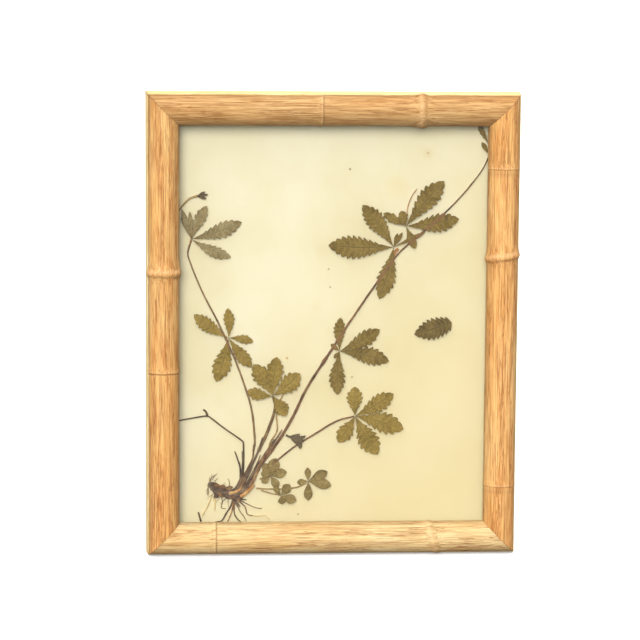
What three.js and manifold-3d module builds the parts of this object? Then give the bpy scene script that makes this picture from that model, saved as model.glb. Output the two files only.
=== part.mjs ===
// A pressed cinquefoil behind glass, in a mitred oak frame whose rails are shaped like bamboo canes.
// Lengths are millimetres. The model is drawn flat, as the frame lies face up on a bench: x to the right,
// y up the picture, z from the back of the frame towards the viewer. The last group stands it upright.

import * as THREE from 'three';
import { mergeVertices } from 'three/addons/utils/BufferGeometryUtils.js';
import Module from 'manifold-3d';

const wasm = await Module();
wasm.setup();

// Frame sizes

const FRAME_WIDTH = 229;
const FRAME_HEIGHT = 286;
const RAIL_WIDTH = 19.5;
const RAIL_DEPTH = 25;
const SIDE_DEPTH = 16.5; // height of the flat outer side, from the back
const SIDE_RAKE = 1.2; // the outer side leans out by this much at the back
const SIGHT_DEPTH = 15; // height at which the round face ends at the sight edge
const LIP_DEPTH = 12.5; // height of the rabbet's shoulder
const LIP_WIDTH = 6;
const QUIRK = 0.4; // the round face stands this far in from the outer side
const FACE_SEGMENTS = 10;
const MITRE_GAP = 0.15; // each rail stops this far short of the mitre plane

// Bamboo rings: a broad swell that ends in a sharp step, and seams with a low lip

const RING_SWELL = 1.4;
const RING_RUN = 9;
const RING_STEP = 1.6;
const SEAM_SWELL = 0.3;
const SEAM_RUN = 4;
const SEAM_GROOVE = -0.35;

// What lies in the rabbet, counted from the back

const FIT = 0.5; // play around the sheet, board and pane
const BOARD_BACK = 3.6;
const BOARD_THICKNESS = 3;
const SHEET_BACK = 7;
const SHEET_THICKNESS = 0.4;
const PANE_BACK = 10.2;
const PANE_THICKNESS = 2;

// Framer's points

const POINT_LENGTH = 12;
const POINT_WIDTH = 7;
const POINT_THICKNESS = 0.6;
const POINT_GRIP = 4; // length driven into the rail
const POINT_LIFT = 0.3; // clearance to the board
const SLOT_PLAY = 0.3;
const POINT_SPREAD = 70;

// Sawtooth hanger

const HANG_DROP = 9.5; // from the top edge down to the toothed edge
const HANGER_WIDTH = 8;
const HANGER_THICKNESS = 0.8;
const HANGER_LENGTH = 46;
const HANGER_BRIDGE = 28;
const HANGER_RISE = 1.6;
const HANGER_LIFT = 0.3;
const TOOTH_COUNT = 7;
const TOOTH_PITCH = 3.2;
const TOOTH_HEIGHT = 1.8;
const NAIL_RADIUS = 0.7;
const NAIL_HEAD_RADIUS = 1.8;
const NAIL_HEAD_HEIGHT = 0.8;
const NAIL_LENGTH = 8;
const NAIL_INSET = 4;
const NAIL_PLAY = 0.3;

// Pressed plant: stems lie on the sheet, leaves lie in one of two layers over them

const STEM_BACK = SHEET_BACK + SHEET_THICKNESS + 0.2;
const STEM_THICKNESS = 0.8;
const STEM_MIDDLE = STEM_BACK + STEM_THICKNESS / 2;
const LEAF_THICKNESS = 0.35;
const LEAF_LAYERS = [STEM_BACK + 1, STEM_BACK + 1.6];
const RHIZOME_THICKNESS = 2.2;
const ROOT_THICKNESS = 0.7;
const LEAF_FULLNESS = 1.25; // above 1, a leaflet is widest past its middle
const LEAF_ROUNDNESS = 0.8;
const TOOTH_START = 0.22; // the lowest part of a leaflet has no teeth
const STALK_RISE = 0.8; // share of a leaf stalk that lies flat before it rises to its leaf
const STEPS_PER_POINT = 1.6; // steps of a stem for each stretch of its route
const STEM_SIDES = 6;
const ROOT_SIDES = 5;

const half = 0.5;
const sightX = FRAME_WIDTH / 2 - RAIL_WIDTH;
const sightY = FRAME_HEIGHT / 2 - RAIL_WIDTH;
const rabbetX = sightX + LIP_WIDTH;
const rabbetY = sightY + LIP_WIDTH;

// Materials

const oak = (color) => new THREE.MeshStandardMaterial({ color, roughness: 0.62, metalness: 0 });
const dried = (color) => new THREE.MeshStandardMaterial({ color, roughness: 0.85, metalness: 0 });
const zinc = () => new THREE.MeshStandardMaterial({ color: 0xb9bcc0, roughness: 0.4, metalness: 1 });
const brass = () => new THREE.MeshStandardMaterial({ color: 0xb8964e, roughness: 0.4, metalness: 1 });
const OAK_COLOUR = 0xdba86c;
const LEAF_COLOUR = 0x7c6f40;
const BASE_LEAF_COLOUR = 0x8f8350;
const STEM_COLOUR = 0x6f5638;
const ROOT_COLOUR = 0x4a372e;

// Solids and shapes

function closed(geometry) {
  // Keeps positions only, joins shared corners and turns the faces outwards.
  geometry.deleteAttribute('normal');
  geometry.deleteAttribute('uv');
  const merged = mergeVertices(geometry, 1e-4);
  const p = merged.attributes.position;
  const index = merged.index.array;
  const a = new THREE.Vector3();
  const b = new THREE.Vector3();
  const c = new THREE.Vector3();
  let volume = 0;
  for (let i = 0; i < index.length; i += 3) {
    a.fromBufferAttribute(p, index[i]);
    b.fromBufferAttribute(p, index[i + 1]);
    c.fromBufferAttribute(p, index[i + 2]);
    volume += a.dot(b.cross(c));
  }
  if (volume < 0) {
    for (let i = 0; i < index.length; i += 3) {
      [index[i + 1], index[i + 2]] = [index[i + 2], index[i + 1]];
    }
  }
  return merged;
}

function solid(geometry) {
  const merged = closed(geometry);
  const vertProperties = new Float32Array(merged.attributes.position.array);
  const triVerts = new Uint32Array(merged.index.array);
  return new wasm.Manifold(new wasm.Mesh({ numProp: 3, vertProperties, triVerts }));
}

function geometryOf(body) {
  const mesh = body.getMesh();
  const geometry = new THREE.BufferGeometry();
  geometry.setAttribute('position', new THREE.BufferAttribute(new Float32Array(mesh.vertProperties), 3));
  geometry.setIndex(new THREE.BufferAttribute(new Uint32Array(mesh.triVerts), 1));
  return geometry;
}

function fuse(geometries) {
  return geometryOf(geometries.map(solid).reduce((all, one) => all.add(one)));
}

function cut(geometry, cutters) {
  return geometryOf(cutters.map(solid).reduce((rest, one) => rest.subtract(one), solid(geometry)));
}

function sweep(section, steps, place) {
  // Extrudes a section through unit length, then puts each point (a, b) of each step where place says.
  const geometry = new THREE.ExtrudeGeometry(section, { depth: 1, steps, bevelEnabled: false });
  const p = geometry.attributes.position;
  for (let i = 0; i < p.count; i += 1) {
    const spot = place(p.getX(i), p.getY(i), Math.round(p.getZ(i) * steps));
    p.setXYZ(i, spot.x, spot.y, spot.z);
  }
  return geometry;
}

function ring(sides) {
  const outline = new THREE.Shape();
  for (let i = 0; i < sides; i += 1) {
    const angle = (2 * Math.PI * (i + half)) / sides;
    const method = i === 0 ? 'moveTo' : 'lineTo';
    outline[method](Math.cos(angle), Math.sin(angle));
  }
  return outline;
}

function slab(width, height, thickness, x, y, back) {
  return new THREE.BoxGeometry(width, height, thickness).translate(x, y, back + thickness / 2);
}

// Rails

const faceCentre = (RAIL_WIDTH + QUIRK) / 2;
const faceRadius = (RAIL_WIDTH - QUIRK) / 2;

function faceBase(s) {
  const share = (s - QUIRK) / (RAIL_WIDTH - QUIRK);
  return THREE.MathUtils.lerp(SIDE_DEPTH, SIGHT_DEPTH, share);
}

function railSection() {
  // s runs from the outer side to the sight edge, d from the back to the front.
  const section = new THREE.Shape();
  section.moveTo(-SIDE_RAKE, 0);
  section.lineTo(RAIL_WIDTH - LIP_WIDTH, 0);
  section.lineTo(RAIL_WIDTH - LIP_WIDTH, LIP_DEPTH);
  section.lineTo(RAIL_WIDTH, LIP_DEPTH);
  for (let i = 0; i <= FACE_SEGMENTS; i += 1) {
    const angle = (Math.PI * i) / FACE_SEGMENTS;
    const s = faceCentre + faceRadius * Math.cos(angle);
    section.lineTo(s, faceBase(s) + (RAIL_DEPTH - SIDE_DEPTH) * Math.sin(angle));
  }
  section.lineTo(0, SIDE_DEPTH);
  return section;
}

function ringStations(at) {
  return [
    [at - RING_RUN, 0],
    [at - RING_RUN / 2, RING_SWELL * 0.3],
    [at - RING_STEP, RING_SWELL * 0.85],
    [at, RING_SWELL],
    [at + RING_STEP * half, RING_SWELL * half],
    [at + RING_STEP, 0],
  ];
}

function seamStations(at) {
  return [
    [at - SEAM_RUN, 0],
    [at - half, SEAM_SWELL],
    [at, SEAM_GROOVE],
    [at + half, SEAM_SWELL],
    [at + SEAM_RUN, 0],
  ];
}

function rail(length, rings, seams, locate) {
  const shoulder = RAIL_WIDTH + RING_SWELL;
  const stations = [[0, 0], [shoulder, 0], [length - shoulder, 0], [length, 0]];
  rings.forEach((at) => stations.push(...ringStations(at)));
  seams.forEach((at) => stations.push(...seamStations(at)));
  stations.sort((one, other) => one[0] - other[0]);
  const last = stations.length - 1;
  return sweep(railSection(), last, (s, d, step) => {
    const [station, swell] = stations[step];
    let along = station;
    if (step === 0) {
      along = s + MITRE_GAP;
    } else if (step === last) {
      along = length - s - MITRE_GAP;
    }
    const rise = d - faceBase(s);
    if (d < SIGHT_DEPTH || s === 0) {
      return locate(along, s, d);
    }
    const grown = faceCentre + (s - faceCentre) * (1 + swell / faceRadius);
    return locate(along, grown, d + (swell * rise) / (RAIL_DEPTH - SIDE_DEPTH));
  });
}

const left = -FRAME_WIDTH / 2;
const right = FRAME_WIDTH / 2;
const top = FRAME_HEIGHT / 2;
const bottom = -FRAME_HEIGHT / 2;

const RAILS = {
  rail_top: {
    length: FRAME_WIDTH,
    rings: [168.6],
    seams: [107],
    locate: (along, s, d) => new THREE.Vector3(left + along, top - s, d),
  },
  rail_bottom: {
    length: FRAME_WIDTH,
    rings: [178],
    seams: [42],
    locate: (along, s, d) => new THREE.Vector3(left + along, bottom + s, d),
  },
  rail_left: {
    length: FRAME_HEIGHT,
    rings: [110],
    seams: [171.4],
    locate: (along, s, d) => new THREE.Vector3(left + s, top - along, d),
  },
  rail_right: {
    length: FRAME_HEIGHT,
    rings: [100],
    seams: [45.6, 243.4],
    locate: (along, s, d) => new THREE.Vector3(right - s, top - along, d),
  },
};

// Points that hold the board, each driven sideways into one rail

const POINTS = {
  point_top: { rail: 'rail_top', x: 0, y: rabbetY, turn: 0 },
  point_bottom: { rail: 'rail_bottom', x: 0, y: -rabbetY, turn: 0 },
  point_left_upper: { rail: 'rail_left', x: -rabbetX, y: POINT_SPREAD, turn: half },
  point_left_lower: { rail: 'rail_left', x: -rabbetX, y: -POINT_SPREAD, turn: half },
  point_right_upper: { rail: 'rail_right', x: rabbetX, y: POINT_SPREAD, turn: half },
  point_right_lower: { rail: 'rail_right', x: rabbetX, y: -POINT_SPREAD, turn: half },
};

function pointBlank({ x, y, turn }, play) {
  // The plate straddles the rabbet wall: its grip is in the wood, the rest lies over the board.
  const inward = POINT_LENGTH / 2 - POINT_GRIP;
  const sideways = turn ? -Math.sign(x) : 0;
  const upright = turn ? 0 : -Math.sign(y);
  const blank = new THREE.BoxGeometry(
    POINT_WIDTH + 2 * play,
    POINT_LENGTH + 2 * play,
    POINT_THICKNESS + 2 * play,
  );
  blank.rotateZ(Math.PI * turn);
  const z = BOARD_BACK - POINT_LIFT - POINT_THICKNESS / 2;
  return blank.translate(x + sideways * inward, y + upright * inward, z);
}

// Hanger and nails, on the back of the top rail

const hangerY = top - HANG_DROP + HANGER_WIDTH / 2;
const nailX = HANGER_LENGTH / 2 - NAIL_INSET;

function nailBlank(x, play) {
  const shank = NAIL_RADIUS + play;
  const back = -(HANGER_LIFT + HANGER_THICKNESS + NAIL_PLAY);
  const tip = NAIL_LENGTH + play;
  const outline = [
    [0, back - NAIL_HEAD_HEIGHT],
    [NAIL_HEAD_RADIUS * half, back - NAIL_HEAD_HEIGHT],
    [NAIL_HEAD_RADIUS, back],
    [shank, back],
    [shank, tip - 1],
    [0, tip],
  ];
  const profile = outline.map(([radius, height]) => new THREE.Vector2(radius, height));
  return new THREE.LatheGeometry(profile, 12).rotateX(Math.PI / 2).translate(x, hangerY, 0);
}

function nailHole(x) {
  const radius = NAIL_RADIUS + NAIL_PLAY;
  const depth = 2 * (NAIL_LENGTH + NAIL_PLAY);
  return new THREE.CylinderGeometry(radius, radius, depth, 12).rotateX(Math.PI / 2).translate(x, hangerY, 0);
}

function hangerStrip() {
  // A strip bent up in the middle, with teeth cut in its lower edge.
  const foot = HANGER_LENGTH / 2;
  const bend = HANGER_BRIDGE / 2;
  const slope = HANGER_RISE;
  const rightHalf = [[bend, HANGER_RISE], [bend + slope, 0], [foot, 0]];
  const leftHalf = rightHalf.map(([x, rise]) => [-x, rise]).reverse();
  const outer = [...leftHalf, ...rightHalf].map(([x, rise]) => new THREE.Vector2(x, -HANGER_LIFT - rise));
  const inner = outer.map((p) => new THREE.Vector2(p.x, p.y - HANGER_THICKNESS)).reverse();
  const strip = new THREE.ExtrudeGeometry(new THREE.Shape([...outer, ...inner]), {
    depth: HANGER_WIDTH,
    bevelEnabled: false,
  });
  strip.rotateX(Math.PI / 2).translate(0, hangerY + HANGER_WIDTH / 2, 0);
  const cutters = [nailHole(-nailX), nailHole(nailX)];
  for (let i = 0; i < TOOTH_COUNT; i += 1) {
    const x = (i - (TOOTH_COUNT - 1) / 2) * TOOTH_PITCH;
    const notch = new THREE.Shape([
      new THREE.Vector2(x - TOOTH_PITCH * 0.45, -1),
      new THREE.Vector2(x + TOOTH_PITCH * 0.45, -1),
      new THREE.Vector2(x, TOOTH_HEIGHT),
    ]);
    const depth = 2 * (HANGER_RISE + HANGER_THICKNESS + HANGER_LIFT);
    const wedge = new THREE.ExtrudeGeometry(notch, { depth, bevelEnabled: false });
    cutters.push(wedge.translate(0, hangerY - HANGER_WIDTH / 2, -depth));
  }
  return cut(strip, cutters);
}

// Stems and roots

function stemGeometry({ route, width, tip = width, thickness = STEM_THICKNESS, sides = STEM_SIDES, lift }) {
  // A flattened stalk along a route on the sheet; lift gives the height of its middle line.
  const spots = route.map(([x, y]) => new THREE.Vector3(x, y, 0));
  const curve = new THREE.CatmullRomCurve3(spots, false, 'centripetal');
  const steps = Math.ceil(STEPS_PER_POINT * (route.length - 1));
  const height = lift ?? (() => STEM_BACK + thickness / 2);
  return sweep(ring(sides), steps, (a, b, step) => {
    const t = step / steps;
    const spot = curve.getPoint(t);
    const along = curve.getTangent(t);
    const reach = (a * THREE.MathUtils.lerp(width, tip, t)) / 2;
    return new THREE.Vector3(
      spot.x - along.y * reach,
      spot.y + along.x * reach,
      height(t) + (b * thickness) / 2,
    );
  });
}

const MAIN_STEM = [
  [-42.3, -85.5], [-39, -81.5], [-31.5, -70.5], [-23.5, -56.5], [-15.5, -39.5], [-9, -29], [2, -12],
  [17, 11], [25.5, 23.5], [40.5, 44], [55.5, 57.5], [70, 70.5], [81.5, 82.5], [91.5, 95.5], [96, 105],
  [97, 113], [96.5, 123],
];
const LEFT_STEM = [
  [-48.8, -79.5], [-48, -72.5], [-50, -53.5], [-55, -36.5], [-61.5, -19], [-71.5, 2.5], [-79, 17], [-85, 30.5],
  [-90, 43.5], [-90, 46.5], [-87.5, 52.5],
];
const RUNNER = [
  [-55, -95], [-55, -76], [-56.5, -72.5], [-65.5, -66], [-74.5, -59], [-78, -57.2], [-88, -58.5], [-95.5, -60],
];
const BRACT = [[-77.5, -57.5], [-78.3, -54.5], [-80, -53]];
const DRY_SPIKE = [[-56.7, -98], [-57, -90], [-58.5, -85], [-60.5, -79.5]];
const THIN_STALK = [[-39.2, -77], [-38, -73.5], [-34, -66], [-34.5, -57.5], [-32.5, -48.5], [-30, -43]];
const BUD_STALK = [[-95.5, 70], [-94, 72.5], [-92, 75], [-88.5, 78.5], [-84, 80], [-80, 80.5]];
const BUD_SEPALS = [[-79, 82.7], [-77.3, 81], [-78.3, 78.3]];
const LOOSE_ROOT = [[-83, -118], [-81.5, -124]];

const RHIZOME = [[-76.5, -99.8], [-73.5, -100], [-69, -103], [-63.5, -104.8], [-57, -107]];
const STEM_BASES = [
  { route: [[-59, -106.5], [-53.5, -101.5], [-49, -92.5], [-47.8, -81.5]], width: 5.5, tip: 4.2 },
  { route: [[-58, -107.5], [-50, -102.5], [-46.5, -95], [-43.3, -86.3]], width: 4.5, tip: 3 },
];
const ROOTS = [
  { route: [[-60.5, -107], [-64.5, -117], [-68.5, -123], [-73, -123.5]], width: 1.5, tip: 0.8 },
  { route: [[-60, -107], [-62, -117], [-64.5, -124]], width: 1, tip: 0.7 },
  { route: [[-60, -107], [-59, -118], [-55.5, -124]], width: 1, tip: 0.8 },
  { route: [[-59, -108], [-55.3, -119], [-51.5, -124.5]], width: 0.8, tip: 0.5 },
  { route: [[-58, -108], [-52.5, -114.5], [-51.5, -118.5], [-48.5, -120]], width: 1.1, tip: 0.7 },
  { route: [[-57, -108.5], [-49.5, -113.5], [-42.5, -115.5]], width: 0.8, tip: 0.5 },
  { route: [[-67.5, -104.5], [-68, -113.5], [-65.5, -115.5]], width: 0.7, tip: 0.5 },
  { route: [[-73, -101], [-75.5, -111], [-80, -120]], width: 0.8, tip: 0.5 },
  { route: [[-71, -103], [-72.5, -116]], width: 0.9, tip: 0.6 },
  { route: [[-73.5, -99], [-73.5, -93.5]], width: 0.8, tip: 0.5 },
  { route: [[-62, -105], [-64, -96.5]], width: 0.8, tip: 0.5 },
];
const RHIZOME_WIDTH = 7;
const RHIZOME_LUMPS = 0.8;

function rhizomeGeometry() {
  // A lumpy body, thickest near its old end, with the stem bases and roots grown into it.
  const curve = new THREE.CatmullRomCurve3(RHIZOME.map(([x, y]) => new THREE.Vector3(x, y, 0)));
  const steps = 10;
  const body = sweep(ring(STEM_SIDES + 2), steps, (a, b, step) => {
    const t = step / steps;
    const spot = curve.getPoint(t);
    const along = curve.getTangent(t);
    const girth = RHIZOME_WIDTH * (0.55 + 0.45 * Math.sin(Math.PI * (0.15 + 0.75 * t)));
    const lump = step % 2 === 0 ? RHIZOME_LUMPS : 0;
    const reach = (a * (girth + lump)) / 2;
    return new THREE.Vector3(
      spot.x - along.y * reach,
      spot.y + along.x * reach,
      STEM_BACK + ((b + 1) * RHIZOME_THICKNESS) / 2,
    );
  });
  const bases = STEM_BASES.map((base) => stemGeometry(base));
  const roots = ROOTS.map((root) => stemGeometry({ ...root, thickness: ROOT_THICKNESS, sides: ROOT_SIDES }));
  return fuse([body, ...bases, ...roots]);
}

// Leaves

function leafletShape(length, width, teeth) {
  // A wedge-shaped base, then forward-pointing teeth up to a blunt tip; no teeth gives a smooth round blade.
  const spread = (u) => (width / 2) * Math.sin(Math.PI * u ** LEAF_FULLNESS) ** LEAF_ROUNDNESS;
  const side = [[0.02, 0.04 * width]];
  if (teeth === 0) {
    [0.2, 0.45, 0.7, 0.88, 0.97].forEach((u) => side.push([u, spread(u)]));
  } else {
    side.push([TOOTH_START, spread(TOOTH_START)]);
    const pitch = (0.97 - TOOTH_START) / teeth;
    for (let i = 0; i < teeth; i += 1) {
      const start = TOOTH_START + i * pitch;
      side.push([start + 0.88 * pitch, spread(start + half * pitch) * 1.06]);
      side.push([start + pitch, spread(start + pitch) * 0.86]);
    }
  }
  const lower = side.map(([u, v]) => new THREE.Vector2(u * length, -v));
  const upper = side.map(([u, v]) => new THREE.Vector2(u * length, v)).reverse();
  return new THREE.Shape([...lower, new THREE.Vector2(length, 0), ...upper]);
}

function leafletGeometry([baseX, baseY], [x, y, width, teeth], back) {
  const length = Math.hypot(x - baseX, y - baseY);
  const blade = new THREE.ExtrudeGeometry(leafletShape(length, width, teeth), {
    depth: LEAF_THICKNESS,
    bevelEnabled: false,
  });
  return blade.rotateZ(Math.atan2(y - baseY, x - baseX)).translate(baseX, baseY, back);
}

function leafGeometry({ heart, layer, leaflets, stalk, stalkWidth = 1.1 }) {
  // Leaflets spread from the heart of the leaf, where they share a small round joint.
  const back = LEAF_LAYERS[layer];
  const joint = new THREE.CylinderGeometry(0.8, 0.8, LEAF_THICKNESS, 8).rotateX(Math.PI / 2);
  joint.translate(heart[0], heart[1], back + LEAF_THICKNESS / 2);
  const blades = leaflets.map((leaflet) => leafletGeometry(heart, leaflet, back));
  const pieces = [joint, ...blades];
  if (stalk) {
    const rise = back + LEAF_THICKNESS / 2 - STEM_MIDDLE;
    const lift = (t) => STEM_MIDDLE + rise * Math.max(0, (t - STALK_RISE) / (1 - STALK_RISE));
    pieces.push(stemGeometry({ route: [...stalk, heart], width: stalkWidth, lift }));
  }
  return fuse(pieces);
}

// Each leaflet: x and y of its tip, its width, its teeth on one side

const LEAVES = {
  leaf_upper_left: {
    heart: [-87.5, 53.5],
    layer: 0,
    leaflets: [
      [-56.5, 64, 9.5, 7], [-78, 74, 7, 5], [-63, 42, 7, 6], [-93.5, 72, 3.5, 0], [-88.5, 70.5, 3, 0],
      [-94, 67, 2, 0],
    ],
  },
  leaf_left: {
    heart: [-64.5, -8],
    layer: 0,
    leaflets: [
      [-86, 6.5, 8.5, 7], [-65, 10.5, 6.5, 5], [-49, -10.5, 5.5, 4], [-50, -26.5, 8, 6],
      [-72, -35.5, 11, 6],
    ],
  },
  leaf_centre: {
    heart: [-37, -44.5],
    layer: 1,
    stalk: [[-45.6, -79.5], [-41.5, -70.5], [-37.5, -60], [-35.5, -51.5]],
    stalkWidth: 2.2,
    leaflets: [
      [-34.5, -20, 10.5, 5], [-49, -24.5, 10.5, 5], [-53, -41.5, 7.5, 4], [-20, -30.5, 11, 5],
      [-28.5, -57, 8.5, 5],
    ],
  },
  leaf_stem_middle: {
    heart: [4.5, -16.5],
    layer: 0,
    leaflets: [
      [5, 4.5, 7, 6], [29.5, -3, 9.5, 6], [35.5, -23, 10.5, 7], [3.5, -44, 9.5, 6], [-1, -12, 3, 0],
      [1, -21, 2.5, 0],
    ],
  },
  leaf_right: {
    heart: [14.5, -57.5],
    layer: 0,
    stalk: [[-43, -92], [-33, -84.5], [-23, -76.5], [-11, -69], [-0.5, -62.5], [6.5, -59.5]],
    leaflets: [
      [14.5, -39, 9.5, 5], [38.5, -43.5, 10.5, 6], [45, -66, 12.5, 6], [29, -82, 12.5, 6],
      [4, -74, 9.5, 4],
    ],
  },
  leaf_base_upper: {
    heart: [-38.5, -95],
    layer: 0,
    stalk: [[-45, -97.2], [-42, -96.2]],
    leaflets: [
      [-34.5, -84, 7.5, 0], [-28, -92.5, 6, 0], [-42, -87, 5.5, 0], [-44, -93, 4.5, 0], [-43.5, -99.5, 4.5, 0],
      [-33, -102.5, 5, 0],
    ],
  },
  leaf_base_lower: {
    heart: [-31.5, -107.5],
    layer: 1,
    stalk: [[-44, -104.3], [-37.5, -106.3]],
    leaflets: [[-26, -100.5, 6, 0], [-30.5, -113, 5, 0], [-22, -111, 6, 0], [-36, -101.5, 3.5, 0]],
  },
  leaf_base_right: {
    heart: [-14.5, -98.5],
    layer: 0,
    stalk: [[-47, -103], [-36.5, -103.5], [-24.5, -103], [-19, -101.5]],
    leaflets: [
      [-15, -90, 4, 0], [-21.5, -99.5, 4, 0], [-14.5, -111, 5.5, 0], [-2.5, -92.5, 7.5, 0],
      [0, -101.5, 8, 0],
    ],
  },
  leaf_top: {
    heart: [45, 61.5],
    layer: 1,
    leaflets: [
      [68.5, 89.5, 12, 7], [78, 66, 11, 7], [31, 69.5, 5.5, 3], [42, 71, 6, 3], [51, 47.5, 5.5, 2],
      [51.5, 84.5, 0.8, 0],
    ],
  },
  leaf_upper: {
    heart: [37.5, 48.5],
    layer: 0,
    leaflets: [
      [18, 74.5, 11, 8], [-3, 49.5, 13.5, 9], [29, 16, 11, 7], [40, 57, 2.5, 0], [43, 57.5, 2.5, 0],
      [57, 57.5, 3, 0],
    ],
  },
  leaf_tip_upper: { heart: [96.5, 112], layer: 0, leaflets: [[90, 125, 4, 3]] },
  leaf_tip_lower: { heart: [96, 106], layer: 0, leaflets: [[91.5, 113.5, 3, 0]] },
};

const LOOSE_LEAFLET = [
  [51, -6], [53.5, -2.5], [53.8, -0.9], [56.5, 1.5], [59.5, 3.8], [62.5, 5], [71, 5.5], [70.5, 2], [72.5, -2],
  [69.5, -4.5], [66, -7], [63, -8], [59, -7.6], [55.5, -8],
];
const SHRIVELLED_BLADE = [
  [-26.5, -70], [-20, -68.5], [-20.5, -70], [-16, -69.5], [-19, -73.5], [-18.5, -76.5], [-19.5, -78],
  [-25, -72.5],
];
const SHRIVELLED_STALK = [[-28.6, -69.3], [-25, -71.3]];

function bladeGeometry(outline, back, thickness) {
  const shape = new THREE.Shape(outline.map(([x, y]) => new THREE.Vector2(x, y)));
  return new THREE.ExtrudeGeometry(shape, { depth: thickness, bevelEnabled: false }).translate(0, 0, back);
}

function budGeometry() {
  const stalk = stemGeometry({ route: BUD_STALK, width: 0.9, tip: 1.6 });
  const base = BUD_STALK[BUD_STALK.length - 2];
  const sepals = BUD_SEPALS.map((tip) => stemGeometry({ route: [base, tip], width: 1.4, tip: 1.1 }));
  return fuse([stalk, ...sepals]);
}

function shrivelledGeometry() {
  const blade = bladeGeometry(SHRIVELLED_BLADE, LEAF_LAYERS[0], 2 * LEAF_THICKNESS);
  const lift = () => LEAF_LAYERS[0] + LEAF_THICKNESS;
  const stalk = stemGeometry({ route: SHRIVELLED_STALK, width: 1, lift });
  return fuse([blade, stalk]);
}

// Assembly

const frame = new THREE.Group();
frame.rotation.x = Math.PI / 2;
frame.position.z = HANG_DROP - top;

function add(name, geometry, material) {
  const mesh = new THREE.Mesh(closed(geometry), material);
  mesh.name = name;
  frame.add(mesh);
}

for (const [name, { length, rings, seams, locate }] of Object.entries(RAILS)) {
  const blank = rail(length, rings, seams, locate);
  const cutters = Object.values(POINTS)
    .filter((point) => point.rail === name)
    .map((point) => pointBlank(point, SLOT_PLAY));
  if (name === 'rail_top') {
    cutters.push(nailHole(-nailX), nailHole(nailX));
  }
  add(name, cut(blank, cutters), oak(OAK_COLOUR));
}

const insideX = 2 * (rabbetX - FIT);
const insideY = 2 * (rabbetY - FIT);
const clear = new THREE.MeshStandardMaterial({
  color: 0xf4f8f6, roughness: 0.05, metalness: 0, transparent: true, opacity: 0.15,
});
add('glass', slab(insideX, insideY, PANE_THICKNESS, 0, 0, PANE_BACK), clear);
add('paper', slab(insideX, insideY, SHEET_THICKNESS, 0, 0, SHEET_BACK), dried(0xf4e8c4));
add('backing_board', slab(insideX, insideY, BOARD_THICKNESS, 0, 0, BOARD_BACK), dried(0xb08d62));

for (const [name, point] of Object.entries(POINTS)) {
  add(name, pointBlank(point, 0), zinc());
}
add('hanger', hangerStrip(), brass());
add('hanger_nail_left', nailBlank(-nailX, 0), zinc());
add('hanger_nail_right', nailBlank(nailX, 0), zinc());

const runner = [
  stemGeometry({ route: RUNNER, width: 1.1, tip: 0.9 }),
  stemGeometry({ route: BRACT, width: 1.5, tip: 1 }),
];
add('rhizome', rhizomeGeometry(), dried(ROOT_COLOUR));
add('main_stem', stemGeometry({ route: MAIN_STEM, width: 2.4, tip: 0.9 }), dried(STEM_COLOUR));
add('left_stem', stemGeometry({ route: LEFT_STEM, width: 1.6, tip: 1.1 }), dried(STEM_COLOUR));
add('runner', fuse(runner), dried(STEM_COLOUR));
add('dry_spike', stemGeometry({ route: DRY_SPIKE, width: 1.4, tip: 0.6 }), dried(STEM_COLOUR));
add('thin_stalk', stemGeometry({ route: THIN_STALK, width: 0.9 }), dried(STEM_COLOUR));
add('flower_bud', budGeometry(), dried(STEM_COLOUR));
for (const [name, leaf] of Object.entries(LEAVES)) {
  const colour = name.startsWith('leaf_base') ? BASE_LEAF_COLOUR : LEAF_COLOUR;
  add(name, leafGeometry(leaf), dried(colour));
}
add('shrivelled_leaf', shrivelledGeometry(), dried(ROOT_COLOUR));
add('loose_leaflet', bladeGeometry(LOOSE_LEAFLET, LEAF_LAYERS[0], LEAF_THICKNESS), dried(LEAF_COLOUR));
add('loose_root', stemGeometry({ route: LOOSE_ROOT, width: 1.1 }), dried(STEM_COLOUR));

const pressedFlowerFrame = new THREE.Group();
pressedFlowerFrame.add(frame);

export default pressedFlowerFrame;
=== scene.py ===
"""A pressed cinquefoil plant in its ringed oak frame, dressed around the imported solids."""

import logging
import math
import random
from dataclasses import dataclass, field
from enum import Enum
from typing import Any, Sequence

import bmesh
import bpy
from mathutils import Matrix, Vector, noise

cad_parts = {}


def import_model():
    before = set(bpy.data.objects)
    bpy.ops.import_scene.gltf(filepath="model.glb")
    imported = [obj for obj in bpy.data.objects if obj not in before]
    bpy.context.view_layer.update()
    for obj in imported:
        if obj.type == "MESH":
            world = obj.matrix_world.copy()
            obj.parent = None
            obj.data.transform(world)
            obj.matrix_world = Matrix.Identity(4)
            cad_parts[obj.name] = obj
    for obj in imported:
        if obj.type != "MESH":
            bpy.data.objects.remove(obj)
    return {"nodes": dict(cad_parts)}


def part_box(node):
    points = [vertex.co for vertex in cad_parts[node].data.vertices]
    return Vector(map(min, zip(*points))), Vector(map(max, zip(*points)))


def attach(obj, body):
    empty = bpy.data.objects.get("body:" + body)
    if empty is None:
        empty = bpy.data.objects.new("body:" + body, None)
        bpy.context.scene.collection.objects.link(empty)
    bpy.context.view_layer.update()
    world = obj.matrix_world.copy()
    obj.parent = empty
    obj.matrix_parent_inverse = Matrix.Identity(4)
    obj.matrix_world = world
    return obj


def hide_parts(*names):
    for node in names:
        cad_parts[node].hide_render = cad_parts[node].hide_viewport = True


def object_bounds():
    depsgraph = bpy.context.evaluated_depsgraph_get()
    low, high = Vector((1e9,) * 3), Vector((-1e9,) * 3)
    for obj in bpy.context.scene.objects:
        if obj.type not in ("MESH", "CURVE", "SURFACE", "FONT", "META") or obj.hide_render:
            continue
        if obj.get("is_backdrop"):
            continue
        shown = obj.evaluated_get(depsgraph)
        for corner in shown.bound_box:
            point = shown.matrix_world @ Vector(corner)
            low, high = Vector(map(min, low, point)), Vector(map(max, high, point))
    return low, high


LOG = logging.getLogger("pressed_flower")

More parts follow.
